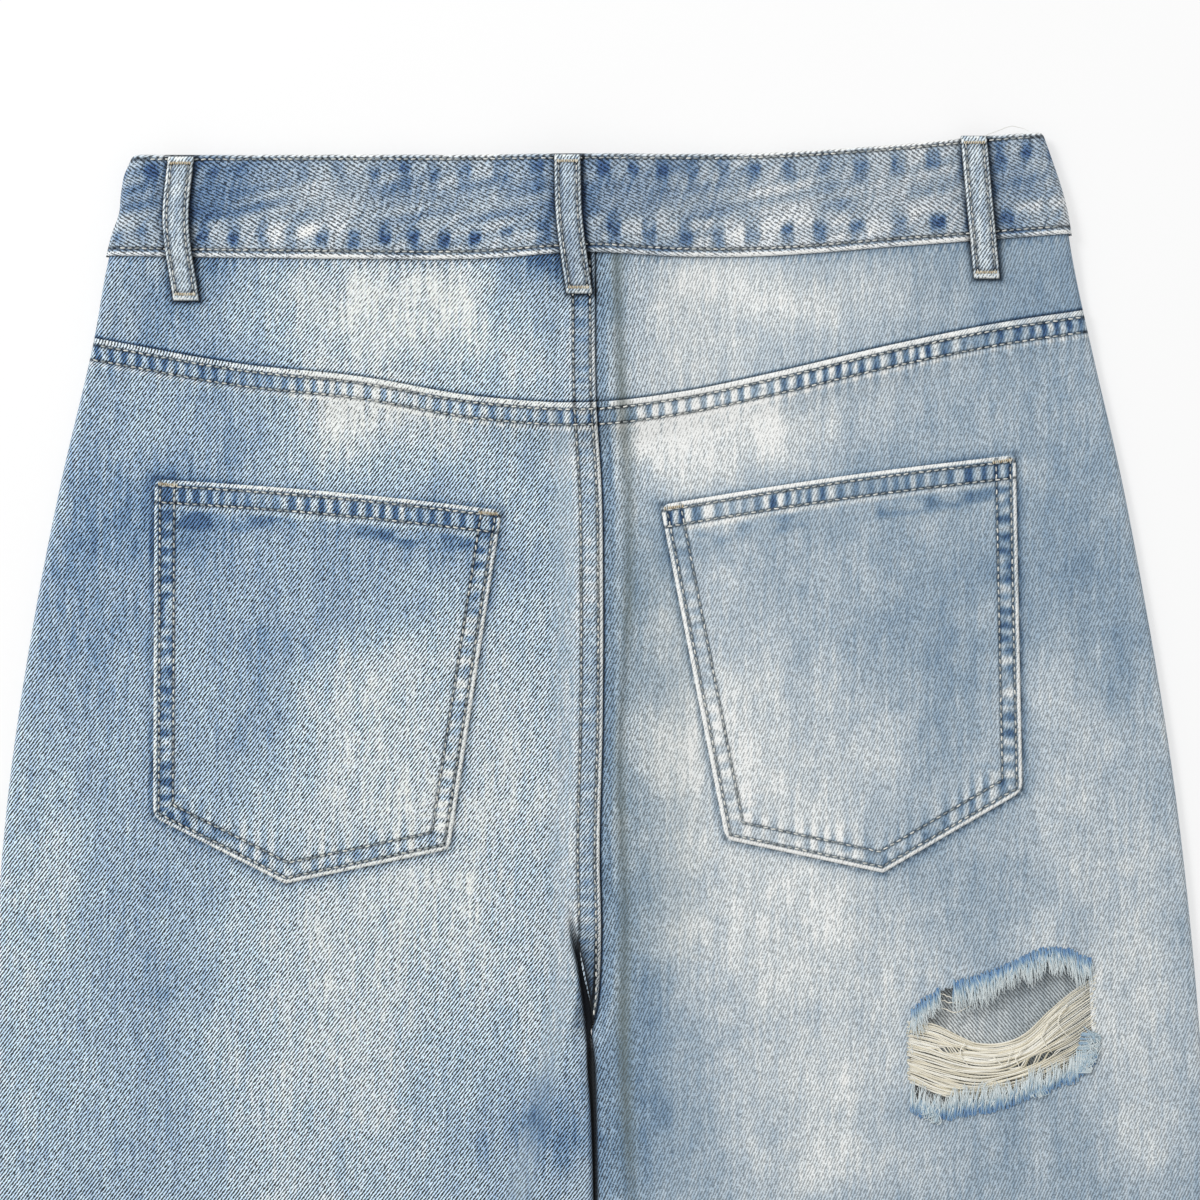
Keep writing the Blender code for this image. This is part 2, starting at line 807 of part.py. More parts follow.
def block_on_fly(name, size, x, y, above):
    """A block lying above the left front's face, following its slope."""
    build = bmesh.new()
    bmesh.ops.create_cube(build, size=1.0)
    for vertex in build.verts:
        at_x = x + size[0] * vertex.co.x
        at_y = y + size[1] * vertex.co.y
        at_z = front_face(ZIP_X, at_y) + above + size[2] * (vertex.co.z + 0.5)
        vertex.co = Vector((at_x, at_y, at_z)) * MM
    mesh = bpy.data.meshes.new(name)
    build.to_mesh(mesh)
    build.free()
    return mesh


# Pieces

LEG_ROWS = (-330, -340, -350, -360, -370, -378, -384, -392, -410, -447, -520, -620, -740, -860, -980)


def back_panel_rows():
    """Row heights from the hem up to the folded top edge at the yoke."""
    rows = [lambda x: HEM_Y, lambda x: HEM_Y + HEM_DEPTH, lambda x: HEM_Y + HEM_DEPTH + 2.5]
    rows += [lambda x, y=y: float(y) for y in reversed(LEG_ROWS)]
    shares = (0.84, 0.62, 0.4, 0.22, 0.08)
    rows += [lambda x, s=s: mix(yoke_seam(x) - FELL - 1 - YOKE_STEP, -322.0, s) for s in shares]
    for below in (FELL + 1 + YOKE_STEP, FELL + 1, 3.0, 0.0):
        rows.append(lambda x, b=below: yoke_seam(x) - b)
    return rows


def yoke_rows():
    rows = [lambda x: yoke_seam(x) - FELL, lambda x: yoke_seam(x) + 0.6]
    for share in (0.3, 0.6, 0.85):
        rows.append(lambda x, s=share: mix(yoke_seam(x) + 0.6, back_low(x) - 2.0, s))
    rows.append(lambda x: back_low(x) - 2.0)
    rows.append(lambda x: back_low(x) + SEAM_ALLOWANCE)
    return rows


def front_rows():
    rows = [lambda x: HEM_Y, lambda x: HEM_Y + HEM_DEPTH, lambda x: HEM_Y + HEM_DEPTH + 2.5]
    rows += [lambda x, y=y: float(y) for y in reversed(LEG_ROWS)]
    rows += [lambda x: -318.0, lambda x: -280.0, lambda x: -243.0, lambda x: -222.0]
    for share in (0.35, 0.68, 1.0):
        rows.append(lambda x, s=share: mix(-222.0, front_low(x) - 62.0, s))
    for below in (46.0, 30.0, 17.0, 2.0, -SEAM_ALLOWANCE):
        rows.append(lambda x, b=below: front_low(x) - b)
    return rows


def make_back_panel(side, name, surface):
    offsets = LEFT_BACK_OFFSETS if side < 0 else RIGHT_BACK_OFFSETS
    columns = panel_columns(side, offsets)
    rows = back_panel_rows()
    order = list(range(len(columns)))
    if side < 0:
        order.reverse()
    return sheet(
        name,
        len(columns),
        len(rows),
        lambda j, i: back_panel_point(side, columns, order[j], rows[i]),
        surface,
        hem_rows=2,
    )


def make_yoke(side, name, surface):
    offsets = LEFT_BACK_OFFSETS if side < 0 else RIGHT_BACK_OFFSETS
    columns = panel_columns(side, offsets)
    rows = yoke_rows()
    order = list(range(len(columns)))
    if side < 0:
        order.reverse()
    return sheet(
        name,
        len(columns),
        len(rows),
        lambda j, i: yoke_point(side, columns, order[j], rows[i]),
        surface,
    )


def make_front_panel(side, name, surface):
    offsets = LEFT_FRONT_OFFSETS if side < 0 else RIGHT_FRONT_OFFSETS
    columns = panel_columns(side, offsets)
    rows = front_rows()
    order = list(range(len(columns)))
    if side < 0:
        order.reverse()
    return sheet(
        name,
        len(columns),
        len(rows),
        lambda j, i: front_point(side, columns, order[j], rows[i]),
        surface,
        faces_down=True,
        hem_rows=2,
    )


def make_waistband(surface):
    stations = band_stations()
    return sheet(
        "waistband",
        len(stations),
        BAND_ROW_COUNT,
        lambda j, i: band_point(stations, j, i),
        surface,
    )


def pocket_corners(which):
    return {row[1]: (row[2], row[3]) for row in POCKETS[1:] if row[0] == which}


def make_pocket(which, surface):
    """A patch pocket: five-sided, lying on the panel, its mouth a little slack."""
    side = -1 if which == "left" else 1
    corner = pocket_corners(which)
    start, end = ("outer", "inner") if side < 0 else ("inner", "outer")
    tip = corner["tip"]
    low_start = corner["low_" + start]
    low_end = corner["low_" + end]
    tip_share = (tip[0] - low_start[0]) / (low_end[0] - low_start[0])
    across = (0.0, tip_share * 0.5, tip_share, tip_share + (1 - tip_share) * 0.5, 1.0)
    down = (1.0, 0.75, 0.5, 0.25, 0.0)

    def place(j, i):
        s = across[j]
        t = down[i]
        top = np.array(corner["top_" + start]) * (1 - s) + np.array(corner["top_" + end]) * s
        top[1] += POCKET_MOUTH_BOW * math.sin(math.pi * s)
        if s <= tip_share:
            low = np.array(low_start) + (np.array(tip) - np.array(low_start)) * (s / tip_share)
        else:
            run = (s - tip_share) / (1 - tip_share)
            low = np.array(tip) + (np.array(low_end) - np.array(tip)) * run
        x, y = top * (1 - t) + low * t
        slack = POCKET_MOUTH_SLACK * math.sin(math.pi * s) * max(1 - 3 * t, 0.0)
        return x, y, back_face(x, y) + LAYER + slack

    return sheet("pocket_" + which, len(across), len(down), place, surface)


def make_back_loop(name, x_top, x_mid, x_low, y_top, y_low, surface):
    """A belt loop: sewn down at both ends, standing off the waistband between them."""
    bend = through([(y_low, x_low), (mix(y_low, y_top, 0.58), x_mid), (y_top, x_top)])
    down = (0.0, 0.09, 0.22, 0.4, 0.6, 0.78, 0.91, 1.0)
    lap = 1.0 if name == "center" else 0.0

    def height(x, y):
        reach = back_low(x)
        on_band = 1 - min(max((reach - y) / 4, 0.0), 1.0)
        face = max(back_face(x + part * LOOP_WIDTH / 2, y) for part in (-1, 0, 1))
        return face + LAYER * (lap + on_band) + 1.5 * LAYER_GAP + LOOP_CLOTH

    def place(j, i):
        y = mix(y_low, y_top, down[i])
        x = bend(y)
        bow = LOOP_BOW * math.sin(math.pi * down[i]) ** 0.8
        crown = 0.12 if j == 1 else 0.0
        return x + (j - 1) * LOOP_WIDTH / 2, y, height(x, y) + bow + crown

    return sheet("belt_loop_back_" + name, 3, len(down), place, surface, cloth=LOOP_CLOTH)


def make_front_loop(side, surface):
    """A front belt loop, pressed flat between the waistband and the floor."""
    x = side * FRONT_LOOP_X
    y_low = front_low(x) - FRONT_LOOP_BELOW_BAND
    y_top = front_low(x) + FRONT_BAND_HEIGHT - 1.5
    down = (0.0, 0.1, 0.22, 0.6, 1.0)
    name = "belt_loop_front_" + ("left" if side < 0 else "right")

    def place(j, i):
        y = mix(y_low, y_top, down[i])
        at = x + (j - 1) * LOOP_WIDTH / 2
        z = 0.0
        if y < front_low(x) - 3:
            edges = (x - LOOP_WIDTH / 2, x + LOOP_WIDTH / 2)
            z = min(front_face(edge, y) for edge in edges) - 2 * LAYER_GAP - LOOP_CLOTH
        return at, y, max(z, 0.0)

    return sheet(name, 3, len(down), place, surface, cloth=LOOP_CLOTH, faces_down=True)


def button_y():
    return front_low(BUTTON_X) + FRONT_BAND_HEIGHT / 2


def make_button(surface):
    """A shank button: head under the left band end, post through its buttonhole to the right end."""
    post_top = LIFT_AT_BUTTON + BAND_PLIES
    radius = BUTTON_HEAD_RADIUS
    profile = (
        (0.0, post_top),
        (BUTTON_POST_RADIUS, post_top),
        (BUTTON_POST_RADIUS, BUTTON_HEAD),
        (radius - 1.0, BUTTON_HEAD),
        (radius, BUTTON_HEAD - 0.7),
        (radius, 0.6),
        (radius - 0.7, 0.0),
        (0.0, 0.0),
    )
    build = bmesh.new()
    points = [build.verts.new((r * MM, 0, z * MM)) for r, z in profile]
    for a, b in zip(points, points[1:]):
        build.edges.new((a, b))
    mesh = bpy.data.meshes.new("fly_button")
    build.to_mesh(mesh)
    build.free()
    obj = add_object("fly_button", mesh, surface)
    obj.location = (BUTTON_X * MM, button_y() * MM, 0)
    turned = obj.modifiers.new("turned", "SCREW")
    turned.steps = 20
    turned.render_steps = 20
    turned.use_merge_vertices = True
    turned.merge_threshold = 0.00001
    turned.use_smooth_shade = True
    return obj


def make_zip_tape(surface):
    """The closed zip between the two sides of the fly, from the slider to the fly's end."""
    top = front_low(ZIP_X) - ZIP_TOP_BELOW_BAND
    low = FLY_END_Y + ZIP_ABOVE_FLY_END
    across = (-0.5, 0.5)
    count = 9

    def place(j, i):
        y = mix(low, top, i / (count - 1))
        x = ZIP_X + across[j] * ZIP_WIDTH
        return x, y, front_face(x, y) + CLOTH + LAYER_GAP

    return sheet("fly_zip_tape", 2, count, place, surface, cloth=ZIP_TAPE, faces_down=True)


def make_slider(surface):
    """The slider at the top of the zip with its pull lying down over the tape, as one casting."""
    low = front_low(ZIP_X) - ZIP_TOP_BELOW_BAND + LAYER_GAP
    middle = low + SLIDER_SIZE[1] / 2
    body = block_on_fly("fly_zip_slider", SLIDER_SIZE, ZIP_X, middle, CLOTH + 1.5 * LAYER_GAP)
    obj = add_object("fly_zip_slider", body, surface)
    over_tape = CLOTH + 2 * LAYER_GAP + ZIP_TAPE + 0.1
    pull_y = low + PULL_IN_SLIDER - PULL_SIZE[1] / 2
    pull_mesh = block_on_fly("zip_pull_shape", PULL_SIZE, ZIP_X, pull_y, over_tape)
    pull = add_object("zip_pull_shape", pull_mesh, None, cutter=True)
    joined = obj.modifiers.new("pull", "BOOLEAN")
    joined.operation = "UNION"
    joined.object = pull
    joined.solver = "EXACT"
    return obj


def rip_outline():
    """The edge of the hole, a little ragged along the top and the bottom."""
    left = RIP[1][0]
    right = RIP[-1][0]
    count = 10
    upper = [mix(left, right, k / count) for k in range(count + 1)]
    points = [(x, rip_upper(x) + RIP_RAGGED * math.sin(2.1 * k)) for k, x in enumerate(upper)]
    points.append((right + 1.5, mix(rip_upper(right), rip_lower(right), 0.55)))
    lower = enumerate(reversed(upper))
    points += [(x, rip_lower(x) + RIP_RAGGED * math.sin(1.7 * k)) for k, x in lower]
    return points


def make_weft_threads(surface):
    """The bared cream weft across the rip, sagging in the hole: one plain solid of its reach."""
    left = RIP[1][0] + 0.8
    right = RIP[-1][0] - 0.4
    columns = 7
    rows = 3

    def place(j, i):
        s = j / (columns - 1)
        x = mix(left, right, s)
        low = rip_lower(x) + 1.4
        top = weft_top(x)
        sag = WEFT_SAG * math.sin(math.pi * s) * (0.4 + 0.6 * i / (rows - 1))
        return x, mix(low, top, i / (rows - 1)), back_face(x, low) - 0.1 - sag

    return sheet("rip_weft_threads", columns, rows, place, surface, cloth=WEFT_THREAD)


def make_fringe(name, edge, inward, outward, surface):
    """A fringe along one edge of the rip: a thin solid of its reach lying on the cloth."""
    left = RIP[1][0] - 1.0
    right = RIP[-1][0] + 5.0
    columns = 7

    def place(j, i):
        x = mix(left, right, j / (columns - 1))
        y = edge(min(x, RIP[-1][0])) + (outward if i == 1 else inward)
        return x, y, back_face(x, y) + LAYER_GAP + FRINGE

    return sheet(name, columns, 2, place, surface, cloth=FRINGE)


def gather_in_frame(frame):
    """Parent every piece to the frame and set the whole in the middle of the world, resting on Z = 0."""
    for obj in part_collection.objects:
        if obj != frame:
            obj.parent = frame
    for obj in cutter_collection.objects:
        obj.parent = frame
    bpy.context.view_layer.update()
    graph = bpy.context.evaluated_depsgraph_get()
    low = np.array([np.inf] * 3)
    high = -low
    for obj in part_collection.objects:
        if obj == frame:
            continue
        done = obj.evaluated_get(graph)
        corners = np.array([done.matrix_world @ Vector(corner) for corner in done.bound_box])
        low = np.minimum(low, corners.min(axis=0))
        high = np.maximum(high, corners.max(axis=0))
    frame.location = (-(low[0] + high[0]) / 2, -(low[1] + high[1]) / 2, -low[2])


def main():
    start_scene()
    back_denim = material("washed denim, back panels", (0.27, 0.38, 0.51), 0.9)
    yoke_denim = material("faded denim, yokes", (0.38, 0.48, 0.58), 0.9)
    front_denim = material("washed denim, front panels", (0.24, 0.34, 0.48), 0.9)
    band_denim = material("mid-blue denim, waistband", (0.19, 0.28, 0.42), 0.9)
    pocket_denim = material("washed denim, pockets", (0.30, 0.41, 0.54), 0.9)
    loop_denim = material("pale denim, belt loops", (0.36, 0.45, 0.54), 0.9)
    cream_cotton = material("undyed weft cotton", (0.78, 0.72, 0.58), 0.95)
    blue_cotton = material("frayed warp cotton", (0.27, 0.43, 0.66), 0.95)
    brass = material("antique brass", (0.42, 0.30, 0.15), 0.4, 1.0)
    tape_cotton = material("navy zip tape", (0.02, 0.03, 0.07), 0.85)

    make_back_panel(-1, "back_panel_left", back_denim)
    back_right = make_back_panel(1, "back_panel_right", back_denim)
    make_yoke(-1, "yoke_left", yoke_denim)
    make_yoke(1, "yoke_right", yoke_denim)
    make_front_panel(-1, "front_panel_left", front_denim)
    make_front_panel(1, "front_panel_right", front_denim)
    band = make_waistband(band_denim)
    make_pocket("left", pocket_denim)
    make_pocket("right", pocket_denim)
    for row in BACK_LOOPS[1:]:
        make_back_loop(*row, loop_denim)
    make_front_loop(-1, loop_denim)
    make_front_loop(1, loop_denim)
    make_button(brass)
    make_zip_tape(tape_cotton)
    make_slider(brass)
    make_weft_threads(cream_cotton)
    make_fringe("rip_fringe_upper", rip_upper, -UPPER_FRINGE_REACH, 1.5, blue_cotton)
    make_fringe("rip_fringe_lower", rip_lower, -LOWER_FRINGE_REACH, 4.0, blue_cotton)

    hole_low = BODY_HEIGHT - CLOTH - RIP_CUTTER_MARGIN
    hole_high = BODY_HEIGHT + RIP_CUTTER_MARGIN
    cut(back_right, outline_cutter("rip_hole", rip_outline(), hole_low, hole_high))
    ring = []
    for k in range(BUTTONHOLE_SIDES):
        turn = 2 * math.pi * k / BUTTONHOLE_SIDES
        x = BUTTON_X + BUTTONHOLE_RADIUS * math.cos(turn)
        ring.append((x, button_y() + BUTTONHOLE_RADIUS * math.sin(turn)))
    hole_high = LIFT_AT_BUTTON + BAND_PLIES + LAYER_GAP / 2
    cut(band, outline_cutter("buttonhole", ring, LIFT_AT_BUTTON - LAYER_GAP, hole_high))

    frame = bpy.data.objects.new("jeans_frame", None)
    part_collection.objects.link(frame)
    gather_in_frame(frame)


main()
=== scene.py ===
import math

import bmesh
import bpy
import numpy as np
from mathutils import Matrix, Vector
from mathutils.bvhtree import BVHTree
from numpy import clip, concatenate, cos, cumsum, diff, exp, hypot, linspace, maximum, minimum, radians
from numpy import sign, sin, sqrt, stack


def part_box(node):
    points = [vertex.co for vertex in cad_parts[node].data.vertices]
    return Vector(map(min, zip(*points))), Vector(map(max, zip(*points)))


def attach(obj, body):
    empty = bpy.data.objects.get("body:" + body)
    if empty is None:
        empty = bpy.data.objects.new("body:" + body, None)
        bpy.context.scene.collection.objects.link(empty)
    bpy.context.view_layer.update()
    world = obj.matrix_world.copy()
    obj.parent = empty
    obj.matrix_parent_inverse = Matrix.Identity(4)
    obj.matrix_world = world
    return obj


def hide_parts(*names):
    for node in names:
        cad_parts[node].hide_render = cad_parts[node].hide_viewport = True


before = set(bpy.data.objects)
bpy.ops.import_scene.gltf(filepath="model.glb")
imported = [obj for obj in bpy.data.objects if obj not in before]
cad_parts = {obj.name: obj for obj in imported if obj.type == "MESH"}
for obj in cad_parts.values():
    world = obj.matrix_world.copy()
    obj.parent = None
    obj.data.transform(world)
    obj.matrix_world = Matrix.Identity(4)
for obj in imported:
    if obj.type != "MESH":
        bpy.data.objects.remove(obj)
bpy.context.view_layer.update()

# Ripped jeans laid flat on their front, back side up. Garment lengths are millimetres:
# the waist towards +y, the wearer's left towards -x, the floor at z = 0.
mm = 0.001
lattice = np.random.default_rng(11).random((256, 256))

body = {
    "cloth": 1.1,  # one layer of denim
    "layer": 1.4,  # one layer and the air under it
    "height": 5.6,  # front face to back face where the cloth lies plain
    "heightInBand": 5.8,
    "hemY": -1080.0,
    "hemDepth": 13.0,
    "crotchY": -376.0,
    "fell": 9.5,  # lap of a flat-felled seam
    "fellStep": 5.0,
    "yokeStep": 8.0,
    "liftAtButton": 2.5,
    "liftAtLoop": 1.9,
    "overlapRise": 4.2,  # right waistband end over the left one
    "flyRise": 2.5,
    "stackRise": 4.3,
    "flyEdgeX": 4.0,
    "flyUnderlap": 24.0,
    "flyEndY": -225.0,
    "frontLapEndY": -330.0,
    "buttonX": -8.0,
    "frontLoopX": 105.0,
    "pullRoom": 30.0,
    "frontBandHeight": 43.4,
    "ridge": 0.45,
    "troughDepth": 0.3,
    "troughWidth": 14.0,
    "inseamTurn": 5.0,
    "crackDepth": 3.4,  # beside the centre seam, where the left leg rolls down
    "crackWidth": 2.6,
}
layer = body["layer"]
stitchRows = {"seam": (3.0, 9.5), "centre": (2.1, 9.3), "pocket": (2.5, 8.6), "mouth": (2.7, 9.8)}


def curveThrough(*points):
    # a smooth curve through (t, value) points, straight beyond both ends
    t, v = np.array(sorted(points), float).T
    slope = np.gradient(v, t)

    def value(at):
        at = np.asarray(at, float)
        k = clip(np.searchsorted(t, at, side="right") - 1, 0, len(t) - 2)
        width = t[k + 1] - t[k]
        s = (at - t[k]) / width
        inside = ((1 + 2 * s) * (1 - s) ** 2 * v[k] + s * (1 - s) ** 2 * width * slope[k]
                  + s * s * (3 - 2 * s) * v[k + 1] + s * s * (s - 1) * width * slope[k + 1])
        before = v[0] + slope[0] * (at - t[0])
        after = v[-1] + slope[-1] * (at - t[-1])
        return np.where(at <= t[0], before, np.where(at >= t[-1], after, inside))

    return value


# Edges as x at a height y
sideEdge = {
    -1: curveThrough((12, -192.6), (0, -196.4), (-7, -199.4), (-15, -200.8), (-24, -201.8), (-31, -204.4),
                     (-42, -207.2), (-80, -214.4), (-137, -227.7), (-189, -238.1), (-263, -249.6),
                     (-376, -258.5), (-560, -263.5), (-1080, -272.0)),
    1: curveThrough((12, 191.8), (-20, 202.2), (-42, 206.0), (-80, 214.2), (-137, 227.3), (-189, 237.2),
                    (-263, 249.2), (-376, 261.0), (-560, 267.0), (-1080, 274.0)),
}
legEdge = {
    -1: curveThrough((-376, -1.0), (-388, -1.8), (-408, -0.6), (-447, 0.6), (-560, -2.5), (-720, -8.0),
                     (-1080, -24.0)),
    1: curveThrough((-376, 0.6), (-388, 1.9), (-408, 2.4), (-447, 2.9), (-560, 6.0), (-720, 11.5),
                    (-1080, 26.0)),
}
centreBack = curveThrough((20, 1.0), (-60, 1.2), (-104, 1.7), (-141, 4.0), (-188, 4.7), (-241, 4.5),
                          (-300, 3.2), (-334, 3.8), (-347, 3.5), (-360, 2.5), (-367, 1.4), (-376, -0.6))
trough = curveThrough((20, 10.5), (-47, 10.8), (-102, 12.9), (-150, 15.9), (-206, 15.0), (-253, 12.2),
                      (-322, 14.2), (-376, 13.6), (-447, 17.0), (-560, 20.0), (-1080, 42.0))
leftRound = curveThrough((-300, -11.5), (-318, -10.2), (-329, -9.5), (-347, -6.0), (-362, -3.7),
                         (-377, -2.3), (-388, -1.6))
leftCrack = curveThrough((-300, -8.4), (-318, -9.2), (-326, -8.6), (-335, -6.8), (-347, -4.2),
                         (-360, -1.7), (-370, -0.2), (-376, 0.0))

# Edges as y at an x
backTop = curveThrough((-210, 1.7), (-150, 1.6), (-100, 1.6), (-48, 1.6), (0, 1.9), (38, 2.0), (72, 2.4),
                       (131, 6.0), (175, 10.2), (210, 12.4))
backLow = curveThrough((-210, -41.6), (-150, -42.6), (-100, -43.2), (-48, -43.2), (0, -40.6), (38, -42.2),
                       (72, -42.0), (131, -37.8), (175, -34.4), (210, -31.8))
yokeSeam = curveThrough((-210, -77.5), (-150, -88.0), (-100, -93.3), (-48, -102.0), (0, -104.6),
                        (38, -100.0), (72, -93.0), (131, -79.2), (175, -70.3), (210, -65.0))
frontLow = curveThrough((-210, -41.6), (-150, -50.5), (-75, -62.5), (0, -67.5), (75, -59.0), (150, -43.0),
                        (210, -31.8))
ripUpper = curveThrough((138, -366.0), (147.5, -359.0), (160, -353.5), (174, -350.0), (188, -343.0),
                        (200, -340.5), (212.5, -345.0))
ripLower = curveThrough((138, -402.5), (147.5, -406.0), (160, -407.0), (174, -404.0), (188, -400.0),
                        (200, -395.5), (212.5, -388.0))

# How the centre seam's lap narrows, and how deep its valley is, down to the crotch
lapShareCurve = curveThrough((-240, 1.0), (-300, 1.0), (-330, 1.0), (-347, 0.83), (-360, 0.42),
                             (-370, 0.0), (-378, 0.0))
valleyCurve = curveThrough((-240, 0.0), (-300, 0.4), (-330, 1.2), (-347, 1.7), (-360, 2.2), (-370, 2.5),
                           (-378, 2.65))

# The CAD box says where this garment lies in the frame.
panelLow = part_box("back_panel_left")[0]
shift = np.array([panelLow.x / mm - sideEdge[-1](body["hemY"]), panelLow.y / mm - body["hemY"], 0.0])


def mix(a, b, share):
    return a + (b - a) * share


def ramp(share):
    return clip(share, 0.0, 1.0)


def ease(share):
    share = ramp(share)
    return share * share * (3 - 2 * share)


def fades(distance, width):
    return 1 - ease(distance / width)


def peak(distance, width):
    # 1 at no distance, with soft flanks
    return exp(-(distance / width) ** 2)


def tail(distance, width):
    # 1 as far as 0, and dying away beyond it
    return exp(-maximum(distance, 0) / width)


def band(distance, start, end, soft=0.7):
    # 1 between start and end, with soft ends
    return ramp((distance - start) / soft + 0.5) * ramp((end - distance) / soft + 0.5)


def arch(share):
    # a quarter circle's drop: 1 at no share, 0 from a whole share on
    return 1 - sqrt(maximum(1 - (1 - ramp(share)) ** 2, 0))


def grooves(distance, rows, width=0.7):
    return sum(peak(distance - row, width) for row in rows)


def drift(x, y=0.0, spacing=10.0, seed=0):
    # smooth unevenness between -1 and 1, the same on each run
    u = np.asarray(x, float) / spacing + 17.3 * seed
    v = np.asarray(y, float) / spacing + 7.9 * seed
    i = np.floor(u).astype(int)
    j = np.floor(v).astype(int)
    a = ease(u - i)
    b = ease(v - j)
    low = mix(lattice[i % 256, j % 256], lattice[(i + 1) % 256, j % 256], a)
    high = mix(lattice[i % 256, (j + 1) % 256], lattice[(i + 1) % 256, (j + 1) % 256], a)
    return 2 * mix(low, high, b) - 1


def spread(start, end, spacing):
    return linspace(start, end, max(2, round(abs(end - start) / spacing) + 1))


def legTurn(y):
    return ease((body["crotchY"] + 8 - y) / 14)


def valleyDepth(y):
    return np.where(y >= -240, 0.0, clip(valleyCurve(y), 0.0, 2.65))


def floorLift(x, y):
    atButton = body["liftAtButton"] * fades(abs(x - body["buttonX"]) - 13, 50)
    atLoop = body["liftAtLoop"] * fades(abs(abs(x) - body["frontLoopX"]) - 18, 38)
    return maximum(atButton, atLoop) * fades(frontLow(x) - body["pullRoom"] - y, 34)


def frontFace(x, y):
    # height of the front's face, which looks down
    return floorLift(x, y) + layer * fades(frontLow(x) - 3 - y, 25)


def stackRise(x, y):
    # the back lies higher over the fly's stacked layers
    left = body["flyEdgeX"] - body["flyUnderlap"]
    beyond = maximum(maximum(left - 2 - x, x - body["flyEdgeX"] - 2), 0.0)
    across = maximum(1 - beyond / 60, 0.0)
    down = fades(frontLow(0.0) - body["pullRoom"] - y, 38)
    up = fades(y - frontLow(0.0) - body["frontBandHeight"], 60)
    return body["stackRise"] * across * down * up


def softFolds(x, y):
    # a ridge and a trough beside the centre back that run on down the right leg
    start = mix(centreBack(maximum(y, body["crotchY"])), legEdge[1](y), legTurn(y)) + 5
    end = trough(y)
    share = ramp((x - start) / (end - start))
    inner = body["ridge"] * sin(math.pi * share) - body["troughDepth"] * share ** 3
    outer = -body["troughDepth"] * fades(x - end, body["troughWidth"])
    return np.where(x < start, 0.0, np.where(x < end, inner, outer))


creases = (
    ("x", "y", "length", "width", "turn", "height"),  # turn: degrees from +x; height: above or below the lie
    (205.0, -250.0, 170.0, 9.0, 88.0, 0.45), (216.0, -262.0, 150.0, 6.0, 88.0, -0.35),
    (-205.0, -330.0, 160.0, 10.0, 96.0, 0.4), (-214.0, -300.0, 120.0, 7.0, 97.0, -0.3),
    (-35.0, -215.0, 120.0, 7.0, 92.0, -0.35), (-25.0, -300.0, 130.0, 8.0, 90.0, 0.4),
    (-16.0, -330.0, 90.0, 5.0, 88.0, -0.4), (110.0, -350.0, 120.0, 12.0, 80.0, 0.35),
    (-120.0, -385.0, 150.0, 14.0, 100.0, 0.35), (90.0, -430.0, 120.0, 10.0, 84.0, -0.35),
    (-60.0, -480.0, 180.0, 12.0, 93.0, -0.5), (-160.0, -620.0, 220.0, 16.0, 96.0, 0.6),
    (120.0, -600.0, 240.0, 15.0, 86.0, 0.6), (60.0, -760.0, 220.0, 14.0, 88.0, -0.6),
    (-110.0, -840.0, 260.0, 15.0, 92.0, -0.6), (-200.0, -920.0, 200.0, 14.0, 95.0, 0.6),
    (190.0, -880.0, 240.0, 16.0, 87.0, 0.6), (150.0, -1000.0, 120.0, 12.0, 70.0, -0.5),
)


def fromSides(x, y):
    return minimum(abs(x - sideEdge[-1](y)), abs(x - sideEdge[1](y)))


def lie(x, y):
    # how the cloth lies on the floor: a slow unevenness and the listed soft creases
    height = 0.3 * drift(x, y, 70, 1) + 0.14 * drift(x, y, 24, 2)
    for cx, cy, length, width, turn, rise in creases[1:]:
        c = math.cos(math.radians(turn))
        s = math.sin(math.radians(turn))
        along = (x - cx) * c + (y - cy) * s
        across = -(x - cx) * s + (y - cy) * c + 0.04 * length * sin(along / length * 4.5 + cx)
        height = height + rise * exp(-(across / width) ** 2 - (along / length * 1.6) ** 4)
    return height * ease((-y - 50) / 60) * ease(fromSides(x, y) / 22)


def backFace(x, y):
    # height of the back's face, which looks up, before any lap is added
    inBand = fades(backLow(x) - 3 - y, 25)
    height = mix(body["height"], body["heightInBand"] + layer, inBand)
    return height + floorLift(x, y) + stackRise(x, y) + softFolds(x, y) + lie(x, y)


def centreLap(x, y):
    return 1 - ramp((centreBack(y) - body["fell"] - 1 - x) / body["fellStep"])


def overLeft(x, y):
    return 1 - ramp((x - centreBack(y) - 0.6) / 4.4)


def acrossCentre(side, x, y):
    # distance from the centre back's line into this side's piece
    return side * (x - centreBack(y))


def ring(side, y):
    # the side fold at a height: its x, and its round's radius and middle
    edge = sideEdge[side](y)
    top = backFace(edge, y)
    bottom = frontFace(edge, y)
    return edge, (top - bottom) / 2, (top + bottom) / 2


def seamGap(y):
    atHem = fades(y - body["hemY"] - body["hemDepth"] - 2, 4)
    atCrotch = fades(abs(y - body["crotchY"] + 6) - 10, 20)
    return 0.16 + 0.2 * maximum(atHem, atCrotch)


def roll(distance, radius=0.9, deep=1.25):
    # how far a folded edge turns down at this distance from its fold
    return deep * arch(distance / radius)


def toSide(side, y, near, share, angle):
    # a share of the way from near to the side fold, then round the fold by an angle
    edge, radius, _ = ring(side, y)
    return near + (edge - side * radius - near) * share + side * radius * sin(radians(angle))


def roundFold(side, y, angle, z, off=0.0, facing=1):
    _, radius, centre = ring(side, y)
    gap = seamGap(y)
    folded = centre + facing * (gap + (radius + off - gap) * cos(radians(angle)))
    return np.where(angle > 0, folded, z)


def roundInseam(side, y, z, face, inward, facing=1):
    # a leg's inner edge goes down to the inseam
    _, radius, middle = ring(side, y)
    width = mix(radius, body["inseamTurn"], fades(body["crotchY"] - y, 45))
    return mix(z, mix(face, middle + facing * seamGap(y), arch(inward / width)), legTurn(y))


